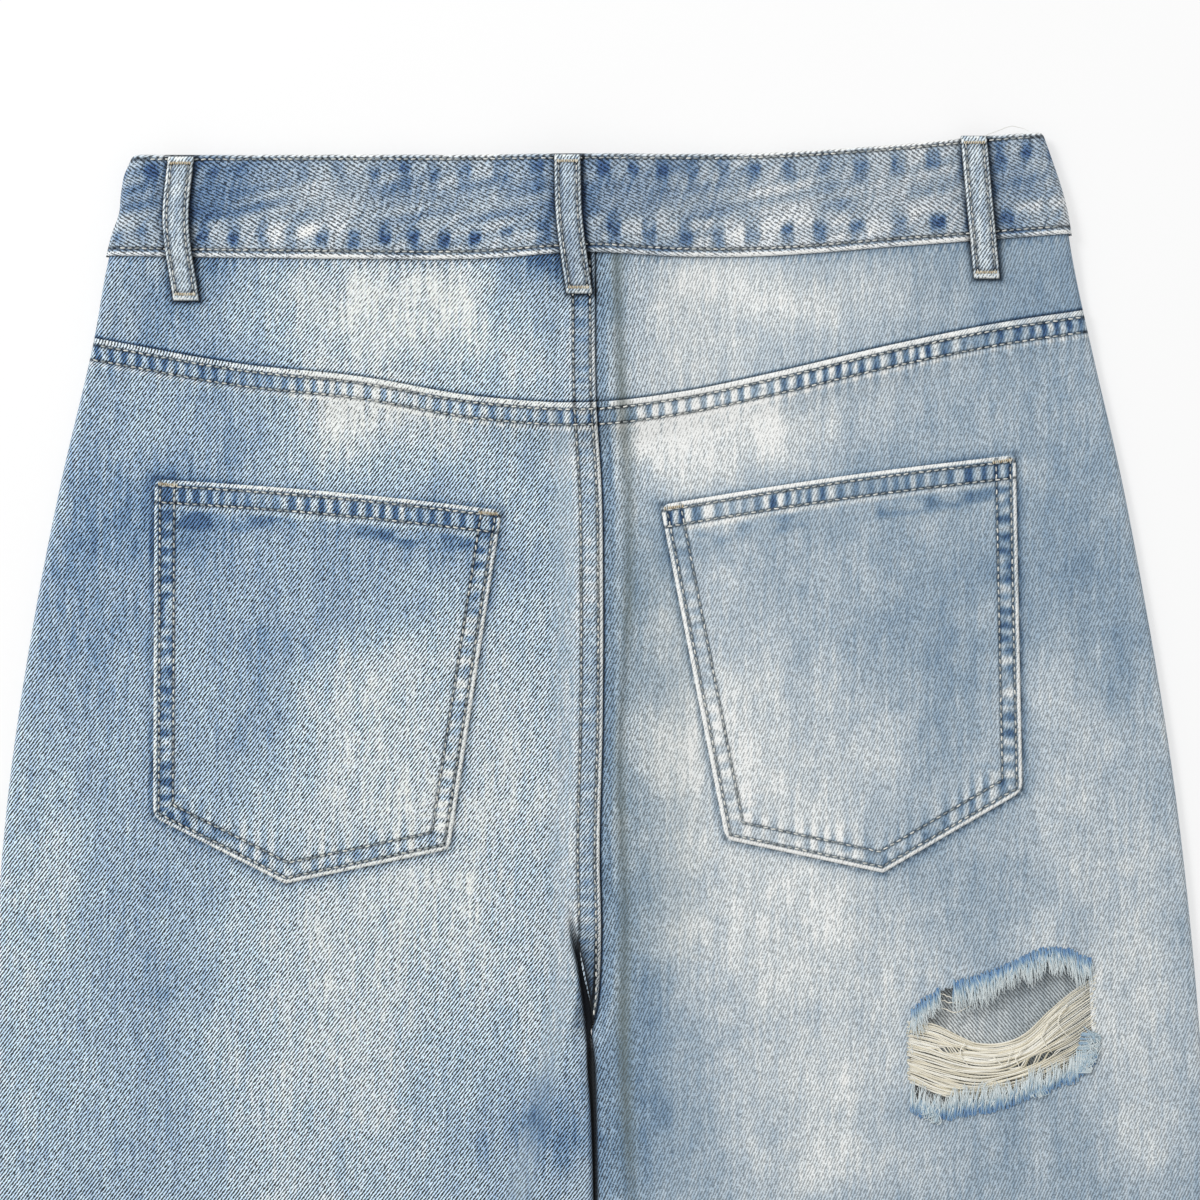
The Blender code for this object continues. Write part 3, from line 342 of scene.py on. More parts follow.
def clothMesh(name, x, y, z, weave, wearAndShade, surface, keep=None, down=False, row=None):
    # x, y, z: rows by columns, in garment millimetres; wearAndShade: wash, crispness, grey tint with painted
    # crease shade, painted shade
    rows, columns = x.shape
    a, b = rows // 2 if row is None else row, columns // 2
    along = (x[a, b + 1] - x[a, b], y[a, b + 1] - y[a, b])
    upward = (x[a + 1, b] - x[a, b], y[a + 1, b] - y[a, b])
    flip = (along[0] * upward[1] - along[1] * upward[0] > 0) == down
    build = bmesh.new()
    bmesh.ops.create_grid(build, x_segments=columns - 1, y_segments=rows - 1, size=0.5)
    mesh = bpy.data.meshes.new(name)
    build.to_mesh(mesh)
    build.free()
    flat = np.empty(rows * columns * 3)
    mesh.vertices.foreach_get("co", flat)
    flat = flat.reshape(-1, 3)
    j = np.rint((flat[:, 0] + 0.5) * (columns - 1)).astype(int)
    i = np.rint((flat[:, 1] + 0.5) * (rows - 1)).astype(int)
    points = (stack([x[i, j], y[i, j], z[i, j]], axis=1) + shift) * mm
    mesh.vertices.foreach_set("co", points.ravel())
    corner = np.empty(len(mesh.loops), int)
    mesh.loops.foreach_get("vertex_index", corner)
    uv = stack([weave[0][i, j], weave[1][i, j]], axis=1)[corner]
    mesh.uv_layers.new(name="weave").data.foreach_set("uv", uv.ravel())
    setWearAndShade(mesh, [channel[i, j] for channel in wearAndShade])
    if keep is not None or flip:
        build = bmesh.new()
        build.from_mesh(mesh)
        if keep is not None:
            kept = keep[i, j]
            gone = [face for face in build.faces if not all(kept[v.index] for v in face.verts)]
            bmesh.ops.delete(build, geom=gone, context="FACES")
        if flip:
            bmesh.ops.reverse_faces(build, faces=build.faces[:])
        build.to_mesh(mesh)
        build.free()
    return place(name + "_cloth", mesh, surface)


def setWearAndShade(mesh, channels):
    colour = mesh.color_attributes.new(name="wearAndShade", type="FLOAT_COLOR", domain="POINT")
    colour.data.foreach_set("color", stack(channels, axis=1).ravel())


def place(name, mesh, surface):
    mesh.shade_smooth()
    mesh.materials.append(surface)
    piece = bpy.data.objects.new(name, mesh)
    bpy.context.scene.collection.objects.link(piece)
    return piece


def arcAlong(x, z):
    steps = hypot(diff(x, axis=1), diff(z, axis=1))
    return concatenate([0 * x[:, :1], cumsum(steps, axis=1)], axis=1)


def weaveOf(x, y, z):
    # flat cloth lengths in millimetres: along the rows by arc length, down the columns by height
    middle = x.shape[1] // 2
    facing = sign(x[0, middle + 1] - x[0, middle])
    run = arcAlong(x, z)
    return facing * (run - run[:, middle:middle + 1]) + x[:, middle:middle + 1], y


# Wash of the back, in steps of the denim's scale from deep indigo, 0, to bare pale, 1
fadePatches = (
    ("x", "y", "wide", "tall", "amount"),
    (-92, -64, 62, 26, 0.34), (58, -60, 52, 30, 0.3), (24, -75, 22, 30, 0.10), (120, -62, 40, 22, 0.14),
    (-96, -114, 52, 22, 0.28), (-150, -112, 40, 16, 0.12), (36, -128, 34, 40, 0.36),
    (80, -116, 34, 20, 0.2), (-80, -246, 40, 50, 0.26), (66, -232, 40, 52, 0.22),
    (-34, -250, 26, 70, 0.12), (-112, -360, 62, 44, 0.16), (-196, -318, 44, 80, -0.12),
    (-184, -366, 26, 44, -0.12), (-150, -104, 26, 26, -0.26), (-26, -52, 18, 15, -0.34),
    (-66, -84, 30, 16, -0.18), (-150, -240, 22, 24, -0.1), (-30, -238, 22, 30, -0.1),
    (-72, -246, 26, 26, -0.1), (-46, -362, 36, 56, 0.2), (-92, -316, 40, 34, 0.12),
    (-214, -194, 30, 26, 0.1), (-140, -190, 14, 20, 0.12), (-80, -166, 30, 14, -0.08),
    (20, -112, 14, 40, -0.14), (40, -172, 28, 10, -0.16), (72, -72, 44, 12, -0.12),
    (48, -256, 26, 34, 0.14), (120, -262, 20, 36, 0.12), (168, -192, 16, 14, 0.12),
    (206, -290, 32, 50, 0.12), (95, -396, 48, 42, 0.28), (44, -372, 36, 40, 0.1),
    (240, -416, 18, 26, 0.14), (140, -352, 24, 26, 0.12), (178, -400, 12, 30, -0.1),
    (106, -114, 26, 14, 0.08), (-184, -138, 26, 44, -0.16), (-162, -118, 16, 20, -0.14),
    (-168, -46, 22, 16, -0.2), (-112, -98, 26, 14, 0.14), (-80, -92, 14, 10, 0.16),
    (-64, -158, 20, 18, -0.18), (-82, -192, 14, 12, -0.18), (-48, -50, 16, 12, 0.22),
    (-17, -52, 8, 13, -0.3), (-20, -132, 8, 12, -0.16), (-60, -134, 12, 10, -0.16),
    (-234, -312, 22, 34, 0.16), (-14, -412, 12, 34, -0.2), (0, -178, 8, 20, 0.16),
    (21, -188, 8, 30, -0.14), (22, -330, 12, 14, -0.2), (58, -322, 16, 16, -0.12),
    (148, -244, 18, 24, -0.13), (90, -440, 46, 16, 0.2), (200, -362, 10, 18, 0.2), (180, -130, 9, 9, 0.2),
    (-128, -420, 56, 40, 0.12), (80, -322, 42, 46, 0.32), (202, -250, 30, 60, 0.12),
    (225, -380, 30, 60, 0.12), (130, -262, 60, 34, 0.08), (-218, -150, 28, 70, -0.2),
    (-224, -205, 24, 60, -0.2), (212, -180, 34, 70, -0.12), (148, -205, 30, 34, -0.12),
    (-132, -195, 46, 48, -0.26), (-40, -165, 20, 40, -0.1), (176, -312, 26, 34, -0.05),
    (178, -432, 52, 26, -0.05), (228, -362, 20, 40, 0.1), (-50, -396, 34, 70, -0.2),
    (-200, -440, 60, 34, -0.12), (30, -400, 34, 70, -0.16), (0, -56, 15, 22, -0.3),
    (-182, -60, 40, 26, -0.22), (186, -52, 34, 24, -0.1), (14, -300, 8, 120, -0.12),
    (-172, -158, 16, 12, -0.16), (-140, -160, 26, 6, -0.12), (-92, -276, 30, 26, 0.08),
    (-24, -425, 18, 36, -0.14), (20, -390, 12, 56, -0.08), (86, -368, 24, 28, -0.1),
    (-60, -292, 14, 12, 0.12), (-18, -290, 7, 12, 0.14), (34, -300, 16, 16, 0.08),
    (202, -360, 14, 18, 0.12), (240, -320, 14, 60, 0.09), (0, -172, 8, 12, 0.12), (-80, -92, 12, 9, 0.1),
    (-20, -50, 8, 10, -0.14), (224, -232, 16, 14, -0.12), (-100, -424, 18, 16, -0.09),
)


def wash(x, y):
    ux = x + 9 * drift(x, y, 26, 3) + 2 * drift(x, y, 8, 4)
    uy = y + 12 * drift(x, y, 34, 5)
    total = 0.57 + 0 * x
    for px, py, wide, tall, amount in fadePatches[1:]:
        total += 1.1 * amount * exp(-((ux - px) / wide) ** 2 - ((uy - py) / tall) ** 2)
    streaks = 0.05 * drift(x, y * 0.12, 6, 6) + 0.04 * drift(x, y * 0.2, 2.6, 7) + 0.05 * drift(x, y, 22, 8)
    streaks += 0.03 * drift(x, y, 9, 12) + 0.025 * drift(x, y, 4, 13)
    lower = ease((-y - 480) / 120)  # far down, the legs go back to an even mid fade
    return mix(total, 0.52 + 0.12 * drift(x, y, 90, 9), lower) + streaks


def crispness(x):
    # how clearly the twill lines stand out: sharp at the wearer's left, softer at the right
    return mix(1.0, 0.42, ease((x + 20) / 60))


def roping(along, period, seed):
    # uneven dark and pale patches that turn up along a sewn edge
    phase = along / period + 0.42 * drift(along, 0, 2.3 * period, seed)
    strength = 0.75 + 0.5 * drift(along, 0, 1.7 * period, seed + 1)
    return clip(1.7 * sin(2 * math.pi * phase), -1, 1) * strength


def spotRow(along, up, period, height, seed):
    # roundish spots in a row beside a sewn edge
    level = height + 1.4 * drift(along, 0, 9, seed + 2)
    tall = 4.8 + 1.6 * drift(along, 0, 7, seed + 3)
    uneven = 0.85 + 0.4 * drift(along, up, 3, seed + 4)
    return ease(0.95 * roping(along, period, seed)) * uneven * peak(up - level, tall)


def lapShare(y):
    return ramp(lapShareCurve(y))


def innerX(side, y, offset):
    # where a station beside the centre back lies: its offset is from the piece's inner edge
    centre = centreBack(maximum(y, body["crotchY"]))
    share = lapShare(y)
    lap = body["fell"] + (side < 0)
    within = minimum(offset, lap)
    beyond = maximum(offset - lap, 0)
    onLeg = within * body["inseamTurn"] / lap + beyond
    if side < 0:
        above = centre - within * maximum(share, 0.3) - beyond
        below = legEdge[-1](y) - onLeg
    else:
        start = centre + mix(0.4, -lap, share)
        end = centre + 0.4 * (1 - share) + 0.6
        above = mix(start, end, within / lap) + beyond
        below = legEdge[1](y) - 0.8 * fades(-y - 560, 260) + onLeg
    return mix(above, below, legTurn(y))


nearEdge = np.array([0.0, 0.12, 0.3, 0.55, 0.9, 1.4])
seamStations = np.array([2.0, 2.4, 2.7, 3.0, 3.3, 3.7, 4.4, 5.2, 6.0, 6.8, 7.6, 8.3, 8.8, 9.2, 9.5, 9.8, 10.3,
                         10.9, 11.6, 12.4])
centreStations = np.array([1.8, 2.1, 2.4, 2.8, 3.4, 4.0, 4.6, 5.2, 5.8, 6.4, 7.0, 7.6, 8.2, 8.7, 9.0, 9.3,
                           9.6, 10.0, 10.5])
sideAngles = np.array([20.0, 40.0, 58.0, 74.0, 90.0])


def columnsOf(near, farSpacing, reach):
    # stations across a piece: offsets from its inner edge, shares of the way to the side fold, and the fold
    shares = linspace(0, 1, round(reach / farSpacing) + 1)[1:]
    offset = concatenate([near, np.full(len(shares) + len(sideAngles), near[-1])])
    share = concatenate([0 * near, shares, 1 + 0 * sideAngles])
    angle = concatenate([0 * near, 0 * shares, sideAngles])
    return offset, share, angle


def asRows(entries):
    return tuple(np.array(part, float) for part in zip(*entries))


def backColumns(spacing, farSpacing, reach):
    near = concatenate([nearEdge, centreStations, spread(11.0, 18.0, spacing), spread(19.0, 36.0, 1.3)])
    return columnsOf(near, farSpacing, reach)


# Rows of a back panel: a share of the yoke seam's line, a drop from it, and a level
hemRows = (16.0, 14.4, 13.4, 12.6, 11.0, 9.0, 7.0, 5.0, 3.0, 1.6, 0.8, 0.3, 0.05, 0.0)
panelRows = asRows(
    [(1, drop, 0) for drop in concatenate([nearEdge, seamStations, spread(13.3, 26.0, 0.9)])]
    + [(1 - s, 26.0, -322.0) for s in spread(0, 1, 0.009)[1:]]
    + [(0, 0, y) for y in concatenate([spread(-323.2, -450.0, 1.2), spread(-455.0, body["hemY"] + 20, 5.0)])]
    + [(0, 0, body["hemY"] + up) for up in hemRows]
)


def layOut(side, columns, rows):
    # crossing points of columns x(y) and rows y(x)
    offset, share, angle = (part[None, :] for part in columns)
    follow, drop, level = (part[:, None] for part in rows)
    x = side * (20 + 230 * share) + 0 * follow
    for _ in range(7):
        y = follow * (yokeSeam(x) - drop) + (1 - follow) * level
        x = toSide(side, y, innerX(side, y, offset), share, angle)
    return x, y


def hemRoll(y):
    # turned-up hem: thicker by a layer, and rolled under at the bottom edge
    up = y - body["hemY"]
    return 0.7 * fades(up - body["hemDepth"], 1.2) - 1.6 * arch(up / 1.2)


def backPanelHeight(side, x, y, angle):
    base = backFace(x, y)
    down = yokeSeam(x) - y
    across = acrossCentre(side, x, y)
    level = 1 - ramp((down - body["fell"] - 1) / body["yokeStep"])
    if side < 0:
        lap = centreLap(x, y) * fades(body["crotchY"] + 30 - y, 18)
        level = lap + level + lap * level
    else:
        level = level * (1 + overLeft(x, y))
    z = base + layer * level - roll(down) - 0.16 * grooves(down, stitchRows["seam"])
    z += 0.22 * roping(x, 5.9, 20 + side) * fades(abs(down - 5.5) - 3.5, 5) * (down > -1)
    sewn = y > -345
    if side < 0:
        z -= roll(across) * (1 - legTurn(y)) + 0.14 * grooves(across, (2, 9.3)) * sewn
        z += 0.18 * roping(y, 6.2, 31) * fades(abs(across - 5) - 3, 5) * (across > -1) * sewn
        crack = leftCrack(y)
        leg = base - body["crackDepth"] * arch((leftRound(y) - x) / body["crackWidth"])
        seamBand = base + layer - valleyDepth(y) - body["crackDepth"] * (1 - ramp(x - crack)) - roll(across)
        z = mix(z, np.where(x < crack, leg, seamBand), ease((-314 - y) / 30))
    else:
        z -= valleyDepth(y) * fades(across - 0.5, 6.0)
        z += 0.12 * roping(y, 6.2, 33) * fades(abs(across - 3) - 2, 3) * sewn
    inward = (x - legEdge[side](y)) * side + 0.8 * fades(-y - 560, 260) * (side > 0)
    z = roundInseam(side, y, z, base, inward)
    return roundFold(side, y, angle, z, layer * level) + hemRoll(y)


# Belt loops on the back: x at the top, middle and low end, the two ends' y, and the wash
backLoops = {
    "left": {"x": (-176.0, -178.2, -174.0), "top": 0.8, "low": -61.0, "tone": 0.62},
    "center": {"x": (-10.6, -9.9, -5.4), "top": 1.2, "low": -58.5, "tone": 0.6},
    "right": {"x": (163.3, 165.5, 169.2), "top": 9.6, "low": -51.6, "tone": 0.66},
}
loopWidth = 11.3
for loop in backLoops.values():
    xTop, xMid, xLow = loop["x"]
    yMid = mix(loop["low"], loop["top"], 0.58)
    loop["path"] = curveThrough((loop["low"], xLow), (yMid, xMid), (loop["top"], xTop))


def besideLoops(x, y):
    # closeness to a belt loop's outline, set a little to its right: 1 at its edge, and 0 a few millimetres
    # away; it places the loop's painted shadow and the less faded cloth beside it
    near = 0 * x
    for loop in backLoops.values():
        away = abs(x - loop["path"](y) - 0.3) - loopWidth / 2
        away = maximum(away, maximum(loop["low"] - y, y - loop["top"] - 2))
        near = maximum(near, tail(away - 0.5, 0.9))
    return near


def rowShade(distance, along, rows, pitch=3.3):
    # painted shade in the groove that a row of stitches presses in, darkest at the needle holes
    groove = sum(exp(-((distance - row) / 0.8) ** 4) for row in rows)
    return groove * (0.76 + 0.16 * cos(2 * math.pi * along / pitch) + 0.1 * drift(along, 0, 5, 15))


def seamWearAndGrooveShade(distance, along, seed, period=5.9, rows=stitchRows["seam"], strength=1.0):
    # what washing does along a lapped seam: a bare pale fold and roped patches, with dark lines at the
    # stitching that are painted groove shade
    first, last = rows
    rope = roping(along, period, seed)
    edgeLine = (0.34 + 0.12 * drift(along, 0, 4, seed + 5)) * band(distance, -0.2, first - 0.7, 0.5)
    between = 0.4 * rope + 0.14 * drift(along, distance, 2.0, seed + 9) - 0.14
    between = between * band(distance, first + 0.2, last - 0.3, 0.9)
    beyond = 0.24 * rope * tail(distance - last, 3.8) * (distance > last)
    lip = 0.16 * band(distance, last + 0.6, last + 2.6, 0.8)
    return strength * (edgeLine - 0.2 * grooves(distance, rows) + between + beyond + lip)


pocketCorner = {
    "left": {"topInner": (-38.7, -150.7), "topOuter": (-187.7, -137.4), "lowInner": (-61.1, -296.1),
             "lowOuter": (-188.3, -282.3), "tip": (-131.6, -310.9)},
    "right": {"topInner": (29.2, -148.5), "topOuter": (181.7, -127.0), "lowInner": (57.3, -291.9),
              "lowOuter": (184.6, -271.3), "tip": (124.7, -306.2)},
}


def pocketSides(which):
    # the corners in order, from one end of the mouth down and round to the other
    corners = [pocketCorner[which][key] for key in ("topOuter", "lowOuter", "tip", "lowInner", "topInner")]
    return corners if which == "left" else corners[::-1]


def pocketDistance(which, x, y, mouthToo=True):
    # how far a point lies inside the pocket's outline, less than 0 outside it
    corners = pocketSides(which)
    inside = 1e3 + 0 * x
    for (ax, ay), (bx, by) in zip(corners, corners[1:] + corners[:1] * mouthToo):
        length = math.hypot(bx - ax, by - ay)
        inside = minimum(inside, ((bx - ax) * (y - ay) - (by - ay) * (x - ax)) / length)
    return inside


def backPanelWearAndShade(side, x, y):
    down = yokeSeam(x) - y
    across = acrossCentre(side, x, y)
    above = 1 - legTurn(y)
    value = wash(x, y) + seamWearAndGrooveShade(down, x, 20 + side)
    if side < 0:
        value += seamWearAndGrooveShade(across, y, 31, 6.2, stitchRows["centre"], 0.36) * above
        value += (0.26 * band(across, -0.4, 1.3, 0.5) - 0.1 * band(across, 2.4, 9.0, 1.0)) * above
    else:
        # under the left lap's edge: a strip of unfaded blue, and right at the edge a dark line of painted
        # shadow
        value = mix(value, 0.3 + 0.06 * drift(x, y, 6, 35), 0.85 * band(across, -1.0, 5.5, 2.0) * above)
        value -= 0.25 * band(across, -1.0, 1.0, 0.6) * above
    outside = -pocketDistance("left" if side < 0 else "right", x, y)
    # just outside the pocket the cloth is darker: partly less faded, partly painted shadow of the pocket's
    # edge
    value -= 0.3 * tail(outside - 0.6, 1.2) * (outside > -0.4) + 0.1 * tail(outside, 6) * (outside > 0)
    up = y - body["hemY"]
    value += 0.14 * roping(x, 12, 41) * band(up, 1, 12.5, 1.0) + 0.3 * band(up, -1, 0.8, 0.5)
    inner = (x - legEdge[side](y)) * side
    # paler at the side folds; darker towards the gap between the legs, as painted shade
    value += 0.06 * peak(fromSides(x, y) - 1.5, 1.4) - 0.16 * tail(inner, 4) * (1 - above)
    crisp = crispness(x)
    dull = 0 * x
    # painted shade: near-black at the leg's inner edge in the gap between the legs, and in the yoke seam's
    # stitch grooves
    shade = 0.85 * tail(inner + 0.4 * (side > 0), 0.5) * (1 - above) + rowShade(down, x, stitchRows["seam"])
    # painted shadow along the pocket's edge
    shade += 0.5 * tail(outside - 0.3, 0.7) * (outside > -0.4)
    if side < 0:
        crisp = crisp * (1 - 0.3 * band(across, 10.5, 21.0, 5.0))
        crack = leftCrack(y)
        outer = leftRound(y)
        # painted shade in the crack beside the centre seam: near-black between the left leg's round edge and
        # the crack, fading out into the sunk seam band; the cloth around it is darker too
        opened = ease((-316 - y) / 26) * fades(-y - 386, 10)
        onLeg = ease((-316 - y) / 10) * (x < crack)
        value -= 0.25 * band(x, outer - 1, crack + 6, 3) * ease((-318 - y) / 30) * above
        shade += rowShade(across, y, stitchRows["centre"]) * above * (1 - onLeg)
        shade += band(x, outer - 0.5, crack + 0.8, 1.0) * opened
        deep = opened * ease((-324 - y) / 16) * (x > crack)
        shade = maximum(shade, 0.86 * exp(-(maximum(x - crack, 0) / 2.3) ** 1.5) * deep)
        shade += 0.4 * ease((-322 - y) / 30) * band(across, -1, 9, 2) * above
    else:
        fromTrough = x - trough(y)
        greyed = band(x, 8, 46, 16) * band(y, -350, -160, 40)
        # grey-green painted shade along the trough, and a grey tint over a patch beside it
        dull = (0.5 + 0.2 * drift(0, y, 30, 36)) * peak(fromTrough, 3.2) * ease((y + 470) / 60)
        dull = maximum(dull, 0.16 * greyed)
        value += 0.07 * greyed
        # painted shadow along the lap's edge, and painted shade in the trough
        shade += 0.75 * band(across, -1.0, 0.9, 0.6) * above + 0.16 * peak(fromTrough, 2.0)
    return value, crisp, dull, ramp(shade)


def linear(text):
    # sRGB hex to the linear colour that the shader takes
    part = [int(text[k:k + 2], 16) / 255 for k in (1, 3, 5)]
    return tuple(c / 12.92 if c <= 0.04045 else ((c + 0.055) / 1.055) ** 2.4 for c in part) + (1.0,)


def node(tree, kind, settings=None, inputs=None):
    # adds a node with its settings, and its inputs as values or links
    made = tree.nodes.new(kind)
    for key, value in (settings or {}).items():
        setattr(made, key, value)
    for key, value in (inputs or {}).items():
        socket = made.inputs[key]
        if isinstance(value, bpy.types.NodeSocket):
            tree.links.new(value, socket)
        else:
            socket.default_value = value
    return made


def emptyMaterial(name):
    made = bpy.data.materials.new(name)
    made.use_nodes = True
    made.node_tree.nodes.clear()
    return made, made.node_tree


def setSteps(colourRamp, steps):
    elements = colourRamp.color_ramp.elements
    for element, (position, colour) in zip(elements, (steps[0], steps[-1])):
        element.position = position
        element.color = linear(colour)
    for position, colour in steps[1:-1]:
        elements.new(position).color = linear(colour)
    return colourRamp.outputs[0]


# From deep indigo to bare weft
washSteps = ((0.0, "#4a6688"), (0.2, "#7690aa"), (0.4, "#96a8b9"), (0.54, "#a3b4c1"), (0.72, "#b8c2ca"),
             (0.86, "#cdd3d6"), (1.0, "#e8ebe9"))
greySteps = ((0.0, "#3a567a"), (0.2, "#627c96"), (0.4, "#8499ac"), (0.54, "#98a9b7"), (0.72, "#b6c1c9"),
             (0.86, "#ced4d6"), (1.0, "#ecedeb"))
bandSteps = ((0.0, "#3b547a"), (0.2, "#5f7895"), (0.4, "#8596a8"), (0.54, "#9ba8b3"), (0.72, "#b6bdc3"),
             (0.86, "#d0d4d6"), (1.0, "#ecedeb"))
loopSteps = ((0.0, "#35486a"), (0.3, "#6c8098"), (0.6, "#a2b1be"), (0.8, "#c6d0d5"), (1.0, "#e9edec"))
insideSteps = ((0.0, "#7c8890"), (0.4, "#b0b8bc"), (0.7, "#cfd3d3"), (1.0, "#eaebe8"))


def denim(name, lineAngle, steps=washSteps, pitch=1.2, dash=0.95, broken=0.55, streak=0.36, line=1.1,
          cloudy=0.18):
    # Washed indigo twill: white weft shows through worn blue warp in slanting lines, dull and slightly furry.
    # pitch: millimetres between lines; dash: how strong they are; broken: how uneven each line is
    made, tree = emptyMaterial(name)
    weave = node(tree, "ShaderNodeUVMap", {"uv_map": "weave"}).outputs["UV"]
    wearAndShade = node(tree, "ShaderNodeVertexColor", {"layer_name": "wearAndShade"})
    channels = node(tree, "ShaderNodeSeparateColor", inputs={"Color": wearAndShade.outputs["Color"]})
    washed, crisp, dull = channels.outputs
    turned = node(tree, "ShaderNodeMapping",
                  inputs={"Vector": weave, "Rotation": (0, 0, math.radians(90 - lineAngle))}).outputs[0]
    alongLines = node(tree, "ShaderNodeMapping",
                      inputs={"Vector": turned, "Scale": (1.1 / pitch, 0.5, 1)}).outputs[0]
    alongWarp = node(tree, "ShaderNodeMapping", inputs={"Vector": weave, "Scale": (0.6, 0.05, 1)}).outputs[0]
    pattern = {}
    pattern["lines"] = node(tree, "ShaderNodeTexWave", {"bands_direction": "X"},
                            {"Vector": turned, "Scale": math.pi / 10 / pitch, "Distortion": 1.8,
                             "Detail": 2.0, "Detail Scale": 2.6, "Detail Roughness": 0.6}).outputs["Fac"]
    noises = (("dashes", alongLines, 1.0, 2.0, 0.6), ("fluff", weave, 1.5, 2.0, 0.7),
              ("slub", alongWarp, 1.0, 3.0, 0.6), ("patch", weave, 0.16, 4.0, 0.65))
    for key, where, scale, detail, rough in noises:
        pattern[key] = node(tree, "ShaderNodeTexNoise",
                            inputs={"Vector": where, "Scale": scale, "Detail": detail, "Roughness": rough}
                            ).outputs["Fac"]
    known = {"washed": washed, "crisp": crisp}
    known.update(lineHeight=pattern["lines"], fluffHeight=pattern["fluff"])
    for key, amount in (("lines", line), ("dashes", 3.2 * broken), ("fluff", 3.0 * broken), ("slub", streak),
                        ("patch", cloudy)):
        known[key] = node(tree, "ShaderNodeMapRange", {"clamp": False},
                          {"Value": pattern[key], "To Min": -amount, "To Max": amount}).outputs[0]
    # each row works on values known by name; the pale side of a line never rises past white
    sums = (
        ("uneven", "ADD", "slub", "patch"),
        ("total", "ADD", "washed", "uneven"),
        ("grain", "ADD", "dashes", "fluff"),
        ("woven", "ADD", "lines", "grain"),
        ("down", "MULTIPLY", "crisp", dash),
        ("whiteShare", "DIVIDE", 0.96, "pale"),
        ("room", "SUBTRACT", "whiteShare", 1.0),
        ("up", "MINIMUM", "down", "room"),
        ("more", "SUBTRACT", "down", "up"),
        ("both", "ADD", "down", "up"),
        ("lean", "DIVIDE", "more", "both"),
        ("threads", "ADD", "woven", "lean"),
        ("steep", "MULTIPLY", "threads", 1.7),
        ("weftSide", "MAXIMUM", "steep", 0.0),
        ("weftShare", "MINIMUM", "weftSide", 1.0),
        ("raised", "MULTIPLY", "weftShare", "up"),
        ("gapSide", "MINIMUM", "steep", 0.0),
        ("gapShare", "MAXIMUM", "gapSide", -1.0),
        ("sunk", "MULTIPLY", "gapShare", "down"),
        ("change", "ADD", "raised", "sunk"),
        ("lit", "ADD", "change", 1.0),
        ("ribs", "MULTIPLY", "lineHeight", "crisp"),
        ("fuzz", "MULTIPLY", "fluffHeight", 0.8),
        ("height", "ADD", "ribs", "fuzz"),
    )
    for key, kind, a, b in sums:
        known[key] = node(tree, "ShaderNodeMath", {"operation": kind},
                          {0: known.get(a, a), 1: known.get(b, b)}).outputs[0]
        if key == "total":
            colours = setSteps(node(tree, "ShaderNodeValToRGB", inputs={"Fac": known["total"]}), steps)
            known["pale"] = node(tree, "ShaderNodeRGBToBW", inputs={"Color": colours}).outputs[0]
    dashed = node(tree, "ShaderNodeVectorMath", {"operation": "SCALE"},
                  {0: colours, "Scale": known["lit"]}).outputs[0]
    # the blue channel pulls the colour towards grey-green: a grey tint, and painted shade along the soft
    # trough beside the centre back
    dulled = node(tree, "ShaderNodeMix", {"data_type": "RGBA"},
                  {0: dull, 6: dashed, 7: linear("#707c78")}).outputs[2]
    # the alpha channel is painted shade: it pulls the colour towards near-black in stitch grooves, the crotch
    # crack, the gap between the legs, and beside laps, pockets and loops
    shaded = node(tree, "ShaderNodeMix", {"data_type": "RGBA"},
                  {0: wearAndShade.outputs["Alpha"], 6: dulled, 7: linear("#0c1118")}).outputs[2]
    bump = node(tree, "ShaderNodeBump",
                inputs={"Height": known["height"], "Strength": 1.0, "Distance": 0.12 * mm}).outputs[0]
    shader = node(tree, "ShaderNodeBsdfPrincipled",
                  inputs={"Base Color": shaded, "Roughness": 0.88, "Specular IOR Level": 0.25, "Normal": bump,
                          "Sheen Weight": 0.08, "Sheen Roughness": 0.5})
    node(tree, "ShaderNodeOutputMaterial", inputs={"Surface": shader.outputs[0]})
    return made


# The wearer's right side is cut a little off the grain, so its lines stand steeper; it is also greyer.
right = {"steps": greySteps, "line": 0.8, "broken": 0.68, "streak": 0.22, "cloudy": 0.12}
rightYoke = {**right, "broken": 0.6, "streak": 0.2, "cloudy": 0.1}
backDenim = {-1: denim("washed indigo twill, left back", 53),
             1: denim("washed indigo twill, right back", 66, **right)}
yokeDenim = {-1: denim("faded indigo twill, left yoke", 51),
             1: denim("faded indigo twill, right yoke", 68, **rightYoke)}
frontDenim = denim("washed indigo twill, front panels", 52)
insideDenim = denim("inside of the twill, pale weft showing", -50, insideSteps, dash=0.65)
bandDenim = denim("washed indigo twill, waistband cut across", -23, bandSteps, pitch=1.1, dash=0.84,
                  broken=0.8, streak=0.32, line=0.85)
pocketDenim = {"left": denim("washed indigo twill, left pocket", 53),
               "right": denim("washed indigo twill, right pocket", 66, **right)}
loopDenim = denim("washed indigo twill, folded belt loops", 57, loopSteps, dash=0.9, broken=0.5, line=0.9)

made = {}


def adopt(piece, name):
    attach(piece, "root")
    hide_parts(name)
    made[name] = piece
    return piece


print("back panels")

# The rip's two straight ends
ripEnds = {"leftX": 137.8, "rightX": 213.5, "snap": 1.3}


